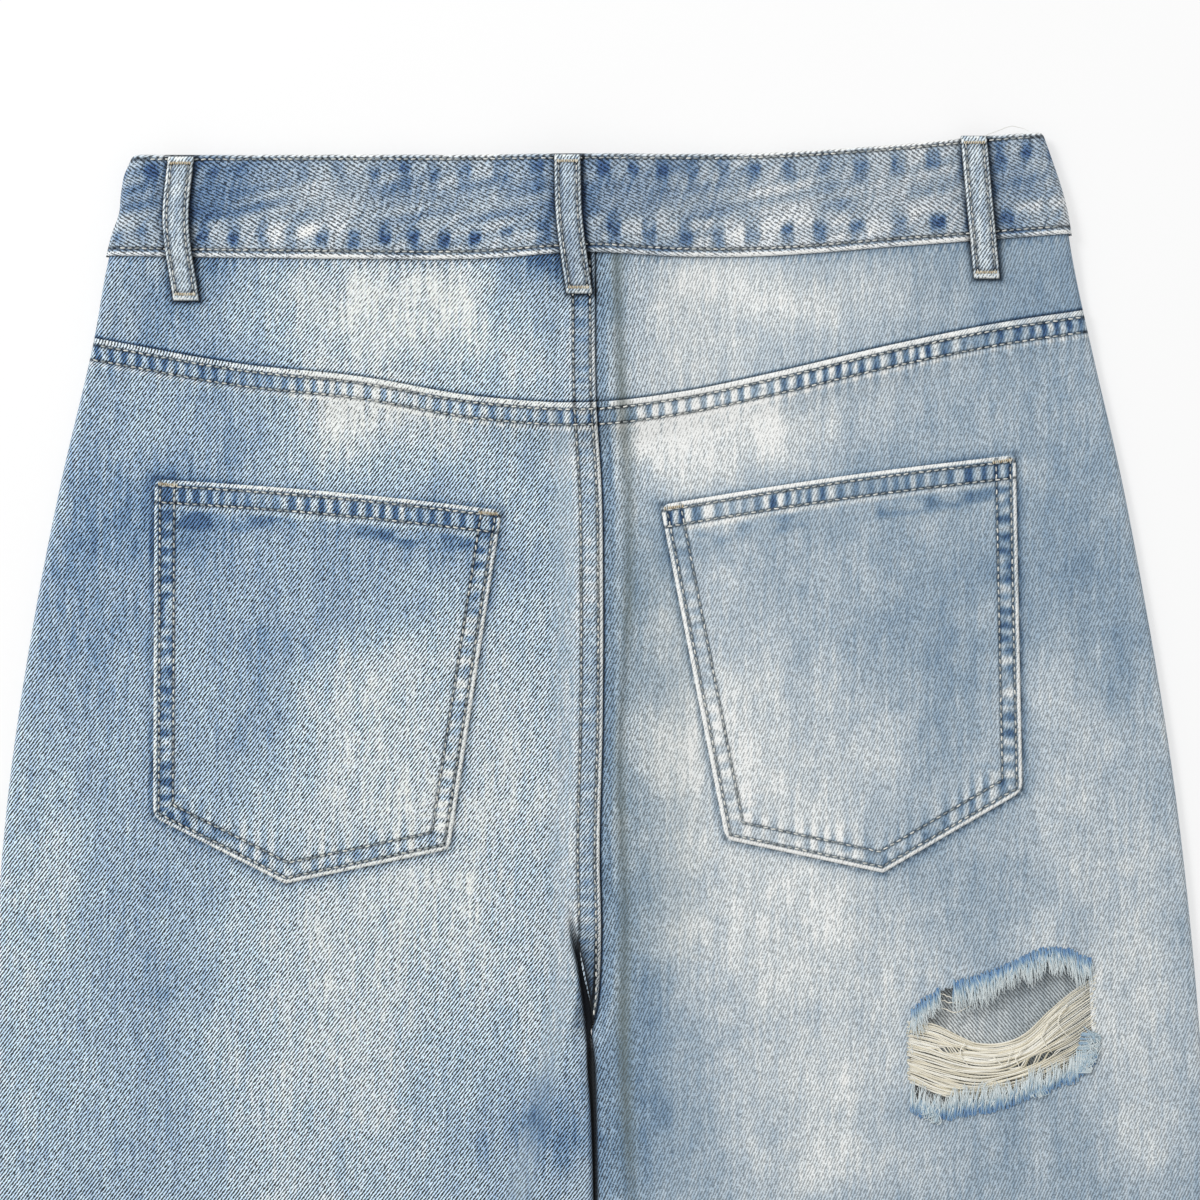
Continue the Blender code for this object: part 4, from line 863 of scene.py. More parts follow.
def makeBackPanel(side):
    name = "back_panel_left" if side < 0 else "back_panel_right"
    columns = backColumns(0.6, 2.0 if side < 0 else 1.7, 222)
    x, y = layOut(side, columns, panelRows)
    z = backPanelHeight(side, x, y, columns[2][None, :])
    keep = None
    if side > 0:
        upper = ripUpper(x) + 0.5 * drift(x, 0, 3, 51)
        lower = ripLower(x) + 0.5 * drift(x, 0, 3, 52)
        left = ripEnds["leftX"] + 2.0 * ramp(abs(y + 384) / 20) ** 2
        right = ripEnds["rightX"] - 1.5 * ramp(abs(y + 366) / 20) ** 2
        across = (x > left) & (x < right)
        keep = ~((y < upper) & (y > lower) & across)
        y = np.where((y >= upper) & (y < upper + ripEnds["snap"]) & across, upper, y)
        y = np.where((y <= lower) & (y > lower - ripEnds["snap"]) & across, lower, y)
    wearAndShade = backPanelWearAndShade(side, x, y)
    return adopt(clothMesh(name, x, y, z, weaveOf(x, y, z), wearAndShade, backDenim[side], keep), name)


for side in (-1, 1):
    makeBackPanel(side)

print("yokes")


def makeYoke(side):
    name = "yoke_left" if side < 0 else "yoke_right"
    columns = backColumns(0.8, 2.0, 190)
    offset, share, angle = (part[None, :] for part in columns)
    up = concatenate([[-5.0, -3.0, -1.0], spread(0.0, 8.0, 0.6), [9.0, 10.0]])
    climb = concatenate([spread(0, 1, 0.028)[1:], [1.0] * 3])
    shares = concatenate([0 * up, climb])[:, None]
    fromSeam = concatenate([up, 10.0 + 0 * climb])[:, None]
    above = concatenate([np.zeros(len(shares) - 3), [2.0, 4.0, 6.0]])[:, None]
    x = side * (20 + 180 * share) + 0 * shares
    for _ in range(7):
        y = mix(yokeSeam(x) + fromSeam, backLow(x), shares) + above
        x = toSide(side, y, innerX(side, y, offset), share, angle)
    across = acrossCentre(side, x, y)
    z = backFace(x, y)
    if side < 0:
        z += layer * centreLap(x, y) - roll(across)
        z += 0.18 * roping(y, 6.2, 61) * fades(abs(across - 5) - 3, 5)
    z = roundFold(side, y, angle, z)
    up = y - yokeSeam(x)
    below = backLow(x) - y
    z = z - 0.3 * tail(up, 1.6)
    # dark lines above the yoke seam and under the waistband: partly unfaded blue, partly painted shadow of
    # the lapped edges
    value = wash(x, y) - 0.3 * band(up, -1.0, 1.2, 0.8) - 0.12 * tail(up, 4)
    value += 0.07 * roping(x, 5.9, 20 + side) * tail(up, 5) - 0.22 * tail(below, 2.5)
    value += 0.2 * roping(x, 3.6, 24 + side) * band(below, 0.9, 3.4, 0.8)
    # painted shadow above the yoke seam's lapped edge and under the waistband's edge
    shade = 0.55 * band(up, -2.0, 0.9, 0.6) + 0.5 * tail(below, 0.7)
    dull = 0 * x
    if side < 0:
        value += seamWearAndGrooveShade(across, y, 61, 6.2, stitchRows["centre"], 0.4) - 0.1 * band(across, 2.4, 9.0, 1.0)
        shade += rowShade(across, y, stitchRows["centre"])
    else:
        fromTrough = x - trough(y)
        value = mix(value, 0.34 + 0.06 * drift(x, y, 6, 35), 0.8 * band(across, -1.0, 5.0, 2.0))
        # painted shadow along the lap's edge, and grey-green painted shade along the trough
        shade += 0.75 * band(across, -1.0, 0.9, 0.6) + 0.14 * peak(fromTrough, 2.0)
        dull = (0.5 + 0.2 * drift(0, y, 30, 36)) * peak(fromTrough, 2.6)
    # beside the loops: less faded cloth, and the loops' painted shadow
    value -= 0.25 * besideLoops(x, y)
    wearAndShade = (value, crispness(x), dull, ramp(shade + 0.8 * besideLoops(x, y)))
    return adopt(clothMesh(name, x, y, z, weaveOf(x, y, z), wearAndShade, yokeDenim[side]), name)


for side in (-1, 1):
    makeYoke(side)

print("front panels")


def frontCentre(y):
    return mix(body["flyEdgeX"], -1.0, ease((-300 - y) / 76))


def frontLapWidth(y):
    under = body["flyUnderlap"]
    end = body["frontLapEndY"]
    lap = mix(under, body["fell"], ease((body["flyEndY"] - y) / 15))
    return np.where(y > end, lap, mix(body["fell"], -0.4, ramp((end - y) / 8)))


def frontRise(x, y):
    fly = mix(body["flyRise"], body["overlapRise"], fades(frontLow(x) - body["pullRoom"] - y, 22))
    rise = mix(fly, layer, ease((body["flyEndY"] + 4 - y) / 18))
    rise = rise * fades(body["frontLapEndY"] - 9 - y, 9)
    return rise * (1 - ramp((x - frontCentre(y) - 0.6) / 15.4))


def frontReach(side, y):
    # the left front leg rolls out under the gap between the legs, as far as the right one; there it is
    # painted near-black as shade
    apart = legEdge[1](y) - legEdge[-1](y)
    return clip(apart - 0.45, 0, 4.2) * fades(-y - 560, 260) * (side < 0)


def makeFrontPanel(side):
    name = "front_panel_left" if side < 0 else "front_panel_right"
    near = concatenate([[0.0, 0.5, 1.2, 2.2, 3.4, 5.0], spread(7.0, 40.0, 3.0)])
    offset, share, angle = (part[None, :] for part in columnsOf(near, 4.0, 222))
    level = concatenate([spread(0, 1, 0.06), [1.0] * 4])[:, None]
    above = concatenate([np.zeros(len(level) - 4), [2.0, 4.0, 6.0, 8.0]])[:, None]
    hemUp = np.array([0.0, 0.5, 1.5, 4.0, 8.0, 11.5, 13.0])
    legRows = concatenate([body["hemY"] + hemUp, spread(-490.0, body["hemY"] + 15, 8.0)[::-1],
                           spread(-222.0, -480.0, 4.0)[::-1]])[:, None]

    def across(y):
        centre = frontCentre(y)
        if side < 0:
            top = centre - offset * mix(1.0, 0.2, ease((-300 - y) / 60))
        else:
            top = centre + mix(-frontLapWidth(y), 0.8, ramp(offset / 5.0)) + maximum(offset - 5.0, 0)
        onLeg = legEdge[side](y) + side * (offset - frontReach(side, y))
        return toSide(side, y, mix(top, onLeg, legTurn(y)), share, angle)

    yLow = legRows + 0 * offset
    x = side * (20 + 200 * share) + 0 * level
    for _ in range(7):
        y = mix(-218.0, frontLow(x), level) + above
        x = across(y)
    x = concatenate([across(yLow), x])
    y = concatenate([yLow, y])
    z = frontFace(x, y) + (frontRise(x, y) if side > 0 else 0)
    inward = (x - legEdge[side](y)) * side + frontReach(side, y)
    z = roundInseam(side, y, z, frontFace(x, y), inward, facing=-1)
    z = roundFold(side, y, angle, z, facing=-1)
    value = wash(-x, y) + 0.1 * drift(x, y, 60, 71)
    value += 0.12 * roping(x, 12, 42) * band(y - body["hemY"], 1, 12.5, 1.0)
    # painted shade: the inner edges go near-black in the gap between the legs
    gapShade = 0.97 * fades(inward - frontReach(side, y) - 0.5, 1.5) * legTurn(y)
    wearAndShade = (value, 0.8 + 0 * x, 0 * x, gapShade)
    piece = clothMesh(name, x, y, z, weaveOf(x, y, z), wearAndShade, frontDenim, down=True)
    piece.data.materials.append(insideDenim)
    thick = piece.modifiers.new("cloth", "SOLIDIFY")
    thick.thickness = 0.9 * mm
    thick.offset = -1
    thick.material_offset = 1
    return adopt(piece, name)


for side in (-1, 1):
    makeFrontPanel(side)

print("waistband")

waistband = {
    "fold": (2 * layer + body["cloth"]) / 2,  # radius of the turned top edge
    "lowZone": 6.0,  # rows this far up keep their distance from the low edge
    "flat": 38.0,  # rows on the outer face, before the turn
    "stitchUp": 3.3,
    "stitchDown": 2.1,
}


def frontBandHeight(side, x):
    near = ease((abs(x) - 120) / (abs(sideEdge[side](0.0)) - 125))
    return mix(body["frontBandHeight"], backTop(x) - backLow(x), near)


def lowSpots(x, up):
    return spotRow(np.where(x < 0, x, 0.8 * x), up, 13.0, 9.2, 74)


def highSpots(x, up):
    return spotRow(x, up, 14.0, 36.6, 76)


def bandSections():
    # the strip runs from the left end at the fly, round the back, to the right end
    nearBack = concatenate([nearEdge, spread(2.0, 18.0, 1.0), spread(19.5, 36.0, 1.5)])
    front = columnsOf(spread(0.0, 36.0, 3.0), 4.0, 180)
    back = [part[:-1] for part in columnsOf(nearBack, 1.8, 180)]
    beyondLap = back[0] > body["fell"] + 0.2
    return (("front", -1, front), ("back", -1, [part[::-1] for part in back]),
            ("back", 1, [part[beyondLap] for part in back]), ("front", 1, [part[::-1] for part in front]))


def layBand(where, side, columns):
    # rows up the outer face, over the turned top edge, and down the inside
    offset, share, angle = (part[None, :] for part in columns)
    onBack = where == "back"
    facing = 1 if onBack else -1
    low, flat, fold = waistband["lowZone"], waistband["flat"], waistband["fold"]
    outside = concatenate([[0.0, 0.1, 0.3, 0.6, 1.0, 1.5, 2.1, 2.8, 3.3, 3.7, 4.0, 4.4, 4.9, 5.5],
                           spread(6.4, 36.4, 1.05), [36.9, 37.4, flat]])
    turn = radians(spread(0, 180, 15)[1:])
    inside = linspace(0.9, 0.0, 8)
    climb = maximum(outside - low, 0) / (flat - low)
    steady = concatenate([minimum(outside, low) - low * climb, fold * sin(turn), 0 * inside])[:, None]
    grows = concatenate([climb, 1 + 0 * turn, inside])[:, None]
    off = concatenate([layer + 0 * outside, fold * cos(turn) - body["cloth"] / 2,
                       -layer - body["cloth"] + 0 * inside])[:, None]
    x = side * (20 + 160 * share) + 0 * steady
    for _ in range(7):
        height = backTop(x) - backLow(x) if onBack else frontBandHeight(side, x)
        up = steady + grows * (height - fold)
        y = up + (backLow(x) if onBack else frontLow(x))
        if onBack:
            start = innerX(side, y, offset)
        elif side < 0:
            start = frontCentre(y) - offset
        else:
            start = body["flyEdgeX"] - body["flyUnderlap"] + offset
        x = toSide(side, y, start, share, angle)
    if onBack:
        lap = centreLap(x, y) if side < 0 else overLeft(x, y)
        z = backFace(x, y) + off + layer * lap * ramp((flat - up) / 28.0) * (off > 0)
    else:
        z = frontFace(x, y) - off
        if side > 0:
            z += body["overlapRise"] * (1 - ramp((x - body["flyEdgeX"] - 0.6) / 15.4))
    edge, radius, centre = ring(side, y)
    x = np.where(angle > 0, edge - side * radius + side * (radius + off) * sin(radians(angle)), x)
    z = np.where(angle > 0, centre + facing * (radius + off) * cos(radians(angle)), z)
    sag = -facing * roll(up, 0.9, 1.2) * (off >= layer - 1e-6)
    if onBack:
        stitching = peak(up - waistband["stitchUp"], 0.8) + peak(up - (backTop(x) - backLow(x) - 2.2), 0.8)
        creased = drift(x + 0.8 * y, 0.25 * (y - 0.6 * x), 9, 73) * fades(abs(up - 22) - 8, 12)
        sag += 0.16 * (creased - stitching) - 0.3 * lowSpots(x, up) - 0.2 * highSpots(x, up)
    outer = off > 0.2
    z += sag * outer * (angle < 60)
    return x, y, z, np.where(outer, up, -5.0), onBack + 0.0 * x


def waistbandWearAndShade(x, y, up, atBack):
    value = 0.38 + 0.07 * drift(x, y, 26, 77) + 0.16 * drift(x * 0.2, y - 0.22 * x, 3.8, 78)
    value += 0.2 * ease((x - 20) / 60) - 0.2 * peak(x - 176, 26) - 0.14 * peak(x + 168, 22)
    value += 0.14 * peak(x + 120, 22) - 0.16 * peak(x + 8, 14) + 0.46 * band(up, -0.4, 1.8, 0.5)
    value += 0.17 * fades(abs(up - 9) - 4.5, 5) * (up > 3.4) + 0.06 * fades(abs(up - 36) - 3, 4)
    value -= 0.6 * lowSpots(x, up) * (up > 3.4) + 0.45 * highSpots(x, up)
    down = abs(y - np.where(atBack > 0.5, backTop(x), y + 50))
    # beside the back loops the cloth is less faded, and the loops' painted shadow falls there
    beside = besideLoops(x, y) * atBack
    value += 0.08 * drift(x * 0.35, y - 0.1 * x, 5, 79) + 0.5 * peak(down, 1.2) - 0.2 * beside
    # painted shade: the loops' shadow, and the stitch grooves
    shade = 0.8 * beside + rowShade(up, x, (waistband["stitchUp"],))
    shade += rowShade(down, x, (waistband["stitchDown"],)) * (up > 30)
    return value, mix(0.95, 0.78, ease((x + 20) / 60)), 0 * x, ramp(shade)


def makeWaistband():
    sections = [layBand(*section) for section in bandSections()]
    x, y, z, up, atBack = (concatenate(part, axis=1) for part in zip(*sections))
    wearAndShade = waistbandWearAndShade(x, y, up, atBack)
    piece = clothMesh("waistband", x, y, z, (arcAlong(x, z), y), wearAndShade, bandDenim, row=4)
    return adopt(piece, "waistband")


makeWaistband()

print("pockets")

pocket = {
    "width": 150.0,
    "height": 152.0,
    "corner": 0.055,  # share of the side that a corner's round takes
    "bow": 1.4,  # the mouth's rise in its middle
    "left": {"ends": ("Outer", "Inner"), "seed": 80, "amount": (0.3, 0.38), "tilt": (0.03, -0.03),
             "sides": 1.0},
    "right": {"ends": ("Inner", "Outer"), "seed": 90, "amount": (0.12, 0.36), "tilt": (0.08, 0.0),
              "sides": 0.8},
}


def rounded(s, t):
    # moves the corners of a unit square inwards so that its outline turns round them
    corner = pocket["corner"]
    u = 2 * s - 1
    v = 2 * t - 1
    a = maximum(abs(u) - (1 - corner), 0) / corner
    b = maximum(abs(v) - (1 - corner), 0) / corner
    both = (a > 0) & (b > 0)
    factor = corner * maximum(a, b) / maximum(hypot(a, b), 1e-9)
    nu = sign(u) * np.where(both, 1 - corner + a * factor, abs(u))
    nv = sign(v) * np.where(both, 1 - corner + b * factor, abs(v))
    return (nu + 1) / 2, (nv + 1) / 2


def makePocket(which):
    own = pocket[which]
    width, height = pocket["width"], pocket["height"]
    corner = {key: np.array(value) for key, value in pocketCorner[which].items()}
    start, end = own["ends"]
    lowStart, lowEnd, tip = corner["low" + start], corner["low" + end], corner["tip"]
    tipShare = (tip[0] - lowStart[0]) / (lowEnd[0] - lowStart[0])
    edge = np.array([0.0, 0.1, 0.25, 0.5, 0.85, 1.3, 1.8, 2.2, 2.5, 2.8, 3.2, 3.8, 4.6, 5.5, 6.4, 7.3, 7.9,
                     8.3, 8.6, 8.9, 9.3, 9.7, 10.0, 10.4, 11.0]) / width
    stations = concatenate([edge, spread(12.0, width - 12.0, 1.2) / width, 1 - edge[::-1]])
    s, t = np.meshgrid(stations, stations[::-1])
    rs, rt = (part[..., None] for part in rounded(s, t))
    top = mix(corner["top" + start], corner["top" + end], rs)
    top[..., 1] += pocket["bow"] * sin(math.pi * rs[..., 0])
    pastTip = mix(tip, lowEnd, (rs - tipShare) / (1 - tipShare))
    low = np.where(rs <= tipShare, mix(lowStart, tip, rs / tipShare), pastTip)
    x, y = np.moveaxis(mix(top, low, rt), -1, 0)
    sides = minimum(s, 1 - s) * width
    bottom = (1 - t) * height
    rim = minimum(minimum(sides, bottom), t * height)
    seam = maximum(pocketDistance(which, x, y, False), 0)
    rise = (top[0, -1, 1] - top[0, 0, 1]) / (top[0, -1, 0] - top[0, 0, 0])
    mouth = top[..., 1] - y + (x - top[..., 0]) * rise
    seed = own["seed"]
    along = np.where(sides < bottom, y, x)
    mouthRope = roping(x, 6.0, seed)
    sideRope = roping(along, 6.6, seed + 3)
    hem = fades(abs(mouth - 6.2) - 3.6, 3.5)
    rows = grooves(seam, stitchRows["pocket"]) + grooves(mouth, stitchRows["mouth"])
    z = backFace(x, y) + layer + 0.35 * sin(math.pi * s) * maximum(1 - 3 * t, 0) - roll(rim) - 0.15 * rows
    z += 0.22 * mouthRope * hem + 0.16 * sideRope * fades(abs(seam - 5) - 2.6, 4) * (1 - hem)
    # the edges are worn pale, and the stitch rows darken as painted groove shade
    value = wash(x, y) + 0.42 * band(minimum(seam, mouth), -0.3, 1.6, 0.5) - 0.2 * rows
    value += (0.42 * mouthRope - 0.14) * band(mouth, 3.4, 9.2, 1.0)
    value += 0.2 * band(mouth, 10.6, 12.6, 0.9) * (seam > 9)
    # a band of darker blotches below the mouth hem
    blotchesBelowMouth = ease((drift(x, y * 2.2, 9, seed + 6) + 0.35) / 0.8) * band(mouth, 13.0, 20.0, 3.0)
    value -= 0.3 * blotchesBelowMouth * band(seam, 9.5, 60.0, 3.0)
    blotch = 0.75 * sideRope + 0.9 * drift(x, y, 4, seed + 4) + 0.4 * drift(x, y, 1.6, seed + 7)
    outward = s if which == "right" else 1 - s
    strip = mix(*own["amount"], outward) * clip(blotch, -1.1, 1) - 0.1 + mix(*own["tilt"], outward)
    value += strip * band(seam, 3.0, 8.4, 1.0) * (mouth > 9)
    value += 0.28 * sideRope * tail(seam - 9, 5.0) * (seam > 9) * (bottom < sides + 4)
    value += 0.08 * mouthRope * tail(mouth - 9, 4) * (mouth > 9) - 0.05 * tail(seam - 8, 5)
    value -= 0.14 * peak(sides, 14) * peak(mouth, 12)
    # painted shade in the stitch grooves
    sideRows = rowShade(seam, along, stitchRows["pocket"]) * (rim > 0.3) * own["sides"]
    shade = maximum(sideRows, rowShade(mouth, x, stitchRows["mouth"]))
    name = "pocket_" + which
    piece = clothMesh(name, x, y, z, (x, y), (value, crispness(x), 0 * x, shade), pocketDenim[which])
    return adopt(piece, name)


for which in ("left", "right"):
    makePocket(which)

print("belt loops")


def makeLoop(name, path, yLow, yHigh, height, tone=0.5, down=False):
    # a folded strap: path gives x at a height y; its sides roll under and both ends are folded round
    width = loopWidth
    total = yHigh - yLow
    side = np.array([0.0, 0.08, 0.22, 0.45, 0.8, 1.3, 1.9, 2.6, 3.6, 4.6])
    ends = np.array([0.0, 0.1, 0.25, 0.5, 0.9, 1.4, 2.0])
    a, u = np.meshgrid(concatenate([side, [width / 2], width - side[::-1]]),
                       concatenate([ends, spread(2.8, total - 2.8, 0.9), total - ends[::-1]]))
    y = yLow + u
    fromEnd = minimum(u, total - u)
    fromSide = minimum(a, width - a)
    rim = minimum(fromSide, fromEnd)
    x = path(y) + (a - width / 2) * (1 - arch(fromEnd / 1.6) / width)
    facing = -1 if down else 1
    rows = peak(a - 1.9, 0.5) + peak(width - a - 1.9, 0.5)
    z = height(x, y, u / total) - facing * (roll(rim, 1.1, 1.5) + 0.14 * rows)
    endFold = band(fromEnd, -1, 2.2, 0.5)
    # the stitch rows darken as painted groove shade
    value = tone + 0.1 * drift(x, y, 7, 101) + 0.06 * drift(x, y, 3, 102) - 0.2 * rows
    value += 0.16 * band(rim, -0.3, 1.2, 0.5) + 0.16 * endFold
    value += 0.15 * roping(y, 5.2, 103) * band(fromSide, 0.6, 3.0, 0.8)
    # painted shade: in the stitch grooves, in a line just inside each end, and round the rim
    shade = rowShade(fromSide, y, (1.9,), 3.0) * (1 - endFold)
    shade += 0.5 * peak(fromEnd - 3.9, 0.5) + 0.75 * band(rim, -1, 0.3, 0.3)
    piece = clothMesh(name, x, y, z, (x, y), (value, 0.8 + 0 * x, 0 * x, ramp(shade)), loopDenim, down=down)
    return adopt(piece, name)


for label, loop in backLoops.items():

    def overBand(x, y, share, path=loop["path"], lap=float(label == "center")):
        onBand = 1 - ramp((backLow(x) - y) / 4)
        centre = path(y)
        half = loopWidth / 2
        face = maximum(maximum(backFace(centre - half, y), backFace(centre, y)), backFace(centre + half, y))
        bow = 1.9 * sin(math.pi * ramp(share)) ** 0.8
        return face + layer * (lap + onBand) + 2.0 + bow + 0.12 * (1 - ((x - centre) / half) ** 2)

    makeLoop("belt_loop_back_" + label, loop["path"], loop["low"], loop["top"], overBand, loop["tone"])

for label, side in (("left", -1), ("right", 1)):
    centre = side * body["frontLoopX"]
    yLow = frontLow(centre)

    def under(x, y, share, centre=centre):
        face = minimum(frontFace(centre - loopWidth / 2, y), frontFace(centre + loopWidth / 2, y))
        return np.where(y < frontLow(centre) - 3, maximum(face - 2.2, 0.0), 0.0)

    makeLoop("belt_loop_front_" + label, lambda y, c=centre: c + 0 * y, yLow - 13.0,
             yLow + body["frontBandHeight"] - 1.5, under, down=True)

print("zip tape")

tapeCotton, tree = emptyMaterial("navy twill zip tape")  # ribbed across, dark and even
weave = node(tree, "ShaderNodeUVMap", {"uv_map": "weave"}).outputs["UV"]
ribs = node(tree, "ShaderNodeTexWave", {"bands_direction": "Y"},
            {"Vector": weave, "Scale": 0.3, "Distortion": 1.0}).outputs["Fac"]
tone = node(tree, "ShaderNodeMix", {"data_type": "RGBA"},
            {0: ribs, 6: linear("#161d2e"), 7: linear("#2b3650")}).outputs[2]
bump = node(tree, "ShaderNodeBump", inputs={"Height": ribs, "Strength": 0.8, "Distance": 0.1 * mm}).outputs[0]
shader = node(tree, "ShaderNodeBsdfPrincipled", inputs={"Base Color": tone, "Roughness": 0.8, "Normal": bump})
node(tree, "ShaderNodeOutputMaterial", inputs={"Surface": shader.outputs[0]})

tape = {"x": -11.0, "width": 13.0, "fromTop": 17.0, "pastFlyEnd": 14.0}
a, u = np.meshgrid(linspace(-tape["width"] / 2, tape["width"] / 2, 14),
                   spread(body["flyEndY"] + tape["pastFlyEnd"], frontLow(tape["x"]) - tape["fromTop"], 1.5))
x = tape["x"] + a
z = frontFace(x, u) + body["cloth"] + 0.3 + 0.25 * peak(a, 1.6) * (1 + 0.6 * sign(sin(u * 2.1)))
piece = clothMesh("fly_zip_tape", x, u, z, (x, u), [0 * x] * 4, tapeCotton, down=True)
adopt(piece, "fly_zip_tape")

# brown in the hollows, bright where it is rubbed
brass, tree = emptyMaterial("antique brass, cast and tumbled")
where = node(tree, "ShaderNodeNewGeometry").outputs["Position"]
tarnish = node(tree, "ShaderNodeTexNoise",
               inputs={"Vector": where, "Scale": 900.0, "Detail": 4.0}).outputs["Fac"]
tone = node(tree, "ShaderNodeMix", {"data_type": "RGBA"},
            {0: tarnish, 6: linear("#6e5230"), 7: linear("#b89660")}).outputs[2]
rough = node(tree, "ShaderNodeMapRange", inputs={"Value": tarnish, "To Min": 0.28, "To Max": 0.5}).outputs[0]
shader = node(tree, "ShaderNodeBsdfPrincipled",
              inputs={"Base Color": tone, "Metallic": 1.0, "Roughness": rough})
node(tree, "ShaderNodeOutputMaterial", inputs={"Surface": shader.outputs[0]})
for name in ("fly_button", "fly_zip_slider"):
    for slot in bpy.data.objects[name].material_slots:
        slot.material = brass

print("rip")


def strands(name, paths, radius, tones, surface, sides=5, profile=None):
    # joined thin tubes along point lists, each with its own tone along it
    points, faces, colours = [], [], []
    start = 0
    turn = np.arange(sides) / sides * 2 * math.pi
    for path, thick, tone in zip(paths, radius, tones):
        path = np.asarray(path, float)
        count = len(path)
        along = np.gradient(path, axis=0)
        along /= np.linalg.norm(along, axis=1)[:, None] + 1e-12
        across = np.cross(along, [0.0, 0.0, 1.0])
        across /= np.linalg.norm(across, axis=1)[:, None] + 1e-12
        up = np.cross(across, along)
        girth = 1 - 0.55 * ease(linspace(-1.2, 1, count)) if profile is None else np.array(profile)
        reach = across[:, None] * cos(turn)[None, :, None] + up[:, None] * sin(turn)[None, :, None]
        points.append((path[:, None] + thick * girth[:, None, None] * reach).reshape(-1, 3))
        i, k = np.meshgrid(np.arange(count - 1) * sides, np.arange(sides), indexing="ij")
        after = (k + 1) % sides
        quads = stack([i + k, i + sides + k, i + sides + after, i + after], axis=-1)
        faces.append(quads.reshape(-1, 4)[:, ::-1] + start)
        colours.append(np.repeat(np.asarray(tone, float), sides))
        start += count * sides
    mesh = bpy.data.meshes.new(name)
    mesh.from_pydata(((concatenate(points) + shift) * mm).tolist(), [], concatenate(faces).tolist())
    value = concatenate(colours)
    setWearAndShade(mesh, [value, 0 * value, 0 * value, 1 + 0 * value])
    return place(name, mesh, surface)


def cotton(name, steps, roughness=0.9):
    # Loose spun yarn: soft, dull, its colour running from root to tip.
    made, tree = emptyMaterial(name)
    wearAndShade = node(tree, "ShaderNodeVertexColor", {"layer_name": "wearAndShade"})
    tone = node(tree, "ShaderNodeSeparateColor", inputs={"Color": wearAndShade.outputs["Color"]}).outputs[0]
    colours = setSteps(node(tree, "ShaderNodeValToRGB", inputs={"Fac": tone}), steps)
    where = node(tree, "ShaderNodeNewGeometry").outputs["Position"]
    twist = node(tree, "ShaderNodeTexNoise",
                 inputs={"Vector": where, "Scale": 2500.0, "Detail": 2.0}).outputs["Fac"]
    bump = node(tree, "ShaderNodeBump",
                inputs={"Height": twist, "Strength": 1.0, "Distance": 0.12 * mm}).outputs[0]
    shader = node(tree, "ShaderNodeBsdfPrincipled",
                  inputs={"Base Color": colours, "Roughness": roughness, "Specular IOR Level": 0.2,
                          "Sheen Weight": 0.15, "Normal": bump})
    node(tree, "ShaderNodeOutputMaterial", inputs={"Surface": shader.outputs[0]})
    return made


weftCotton = cotton("undyed weft yarn, spun cotton",
                    ((0.0, "#8a8266"), (0.35, "#cfc7ac"), (0.7, "#f2ecda"), (1.0, "#fffdf4")))
warpCotton = cotton("frayed indigo warp yarn",
                    ((0.0, "#6790bd"), (0.3, "#8fafcb"), (0.6, "#b4c9d4"), (1.0, "#dfe7e8")))

weftTop = curveThrough((138.0, -370.0), (147, -371.5), (156.0, -375.5), (165, -378.6), (176.0, -379.0),
                       (187, -374.5), (196.0, -366.0), (205, -358.0), (213.0, -352.0))
weftLow = curveThrough((138.0, -397.0), (147, -401.0), (166.0, -403.0), (178.5, -400.0), (189.5, -396.5),
                       (200, -392.0), (206.0, -389.5), (214.0, -384.0))
weft = {
    "count": 58,
    "ends": (135.9, 214.4),
    "radius": (0.3, 0.42),
    "strayRadius": 0.28,
    # loose ends that cross the others; the first three come from under the upper edge
    "strays": (
        [(149, -357.5), (154, -359.5), (160, -361.5)],
        [(149, -360.5), (155, -362.0), (161, -360.0)],
        [(150, -364.0), (156, -366.0), (163, -363.0)],
        [(172, -385.0), (177, -389.0), (180, -381.0)],
        [(160, -379.0), (158, -384.0), (162, -390.0)],
        [(186, -380.0), (182, -386.0), (185, -391.0)],
        [(196, -370.0), (193, -377.0), (197, -383.0)],
        [(204, -362.0), (200, -370.0), (205, -377.0)],
    ),
}
dice = np.random.default_rng(5)


def yarn(points, wobble, seed):
    # a smooth, slightly uneven path through a few points
    points = np.asarray(points, float)
    at = linspace(0, 1, len(points))
    s = linspace(0, 1, 5 * len(points))
    path = stack([curveThrough(*zip(at, points[:, k]))(s) for k in range(3)], axis=1)
    path[:, 0] += wobble * drift(s * 9, seed, 1.0, 3)
    path[:, 1] += wobble * drift(s * 9, seed + 40, 1.0, 4)
    return path


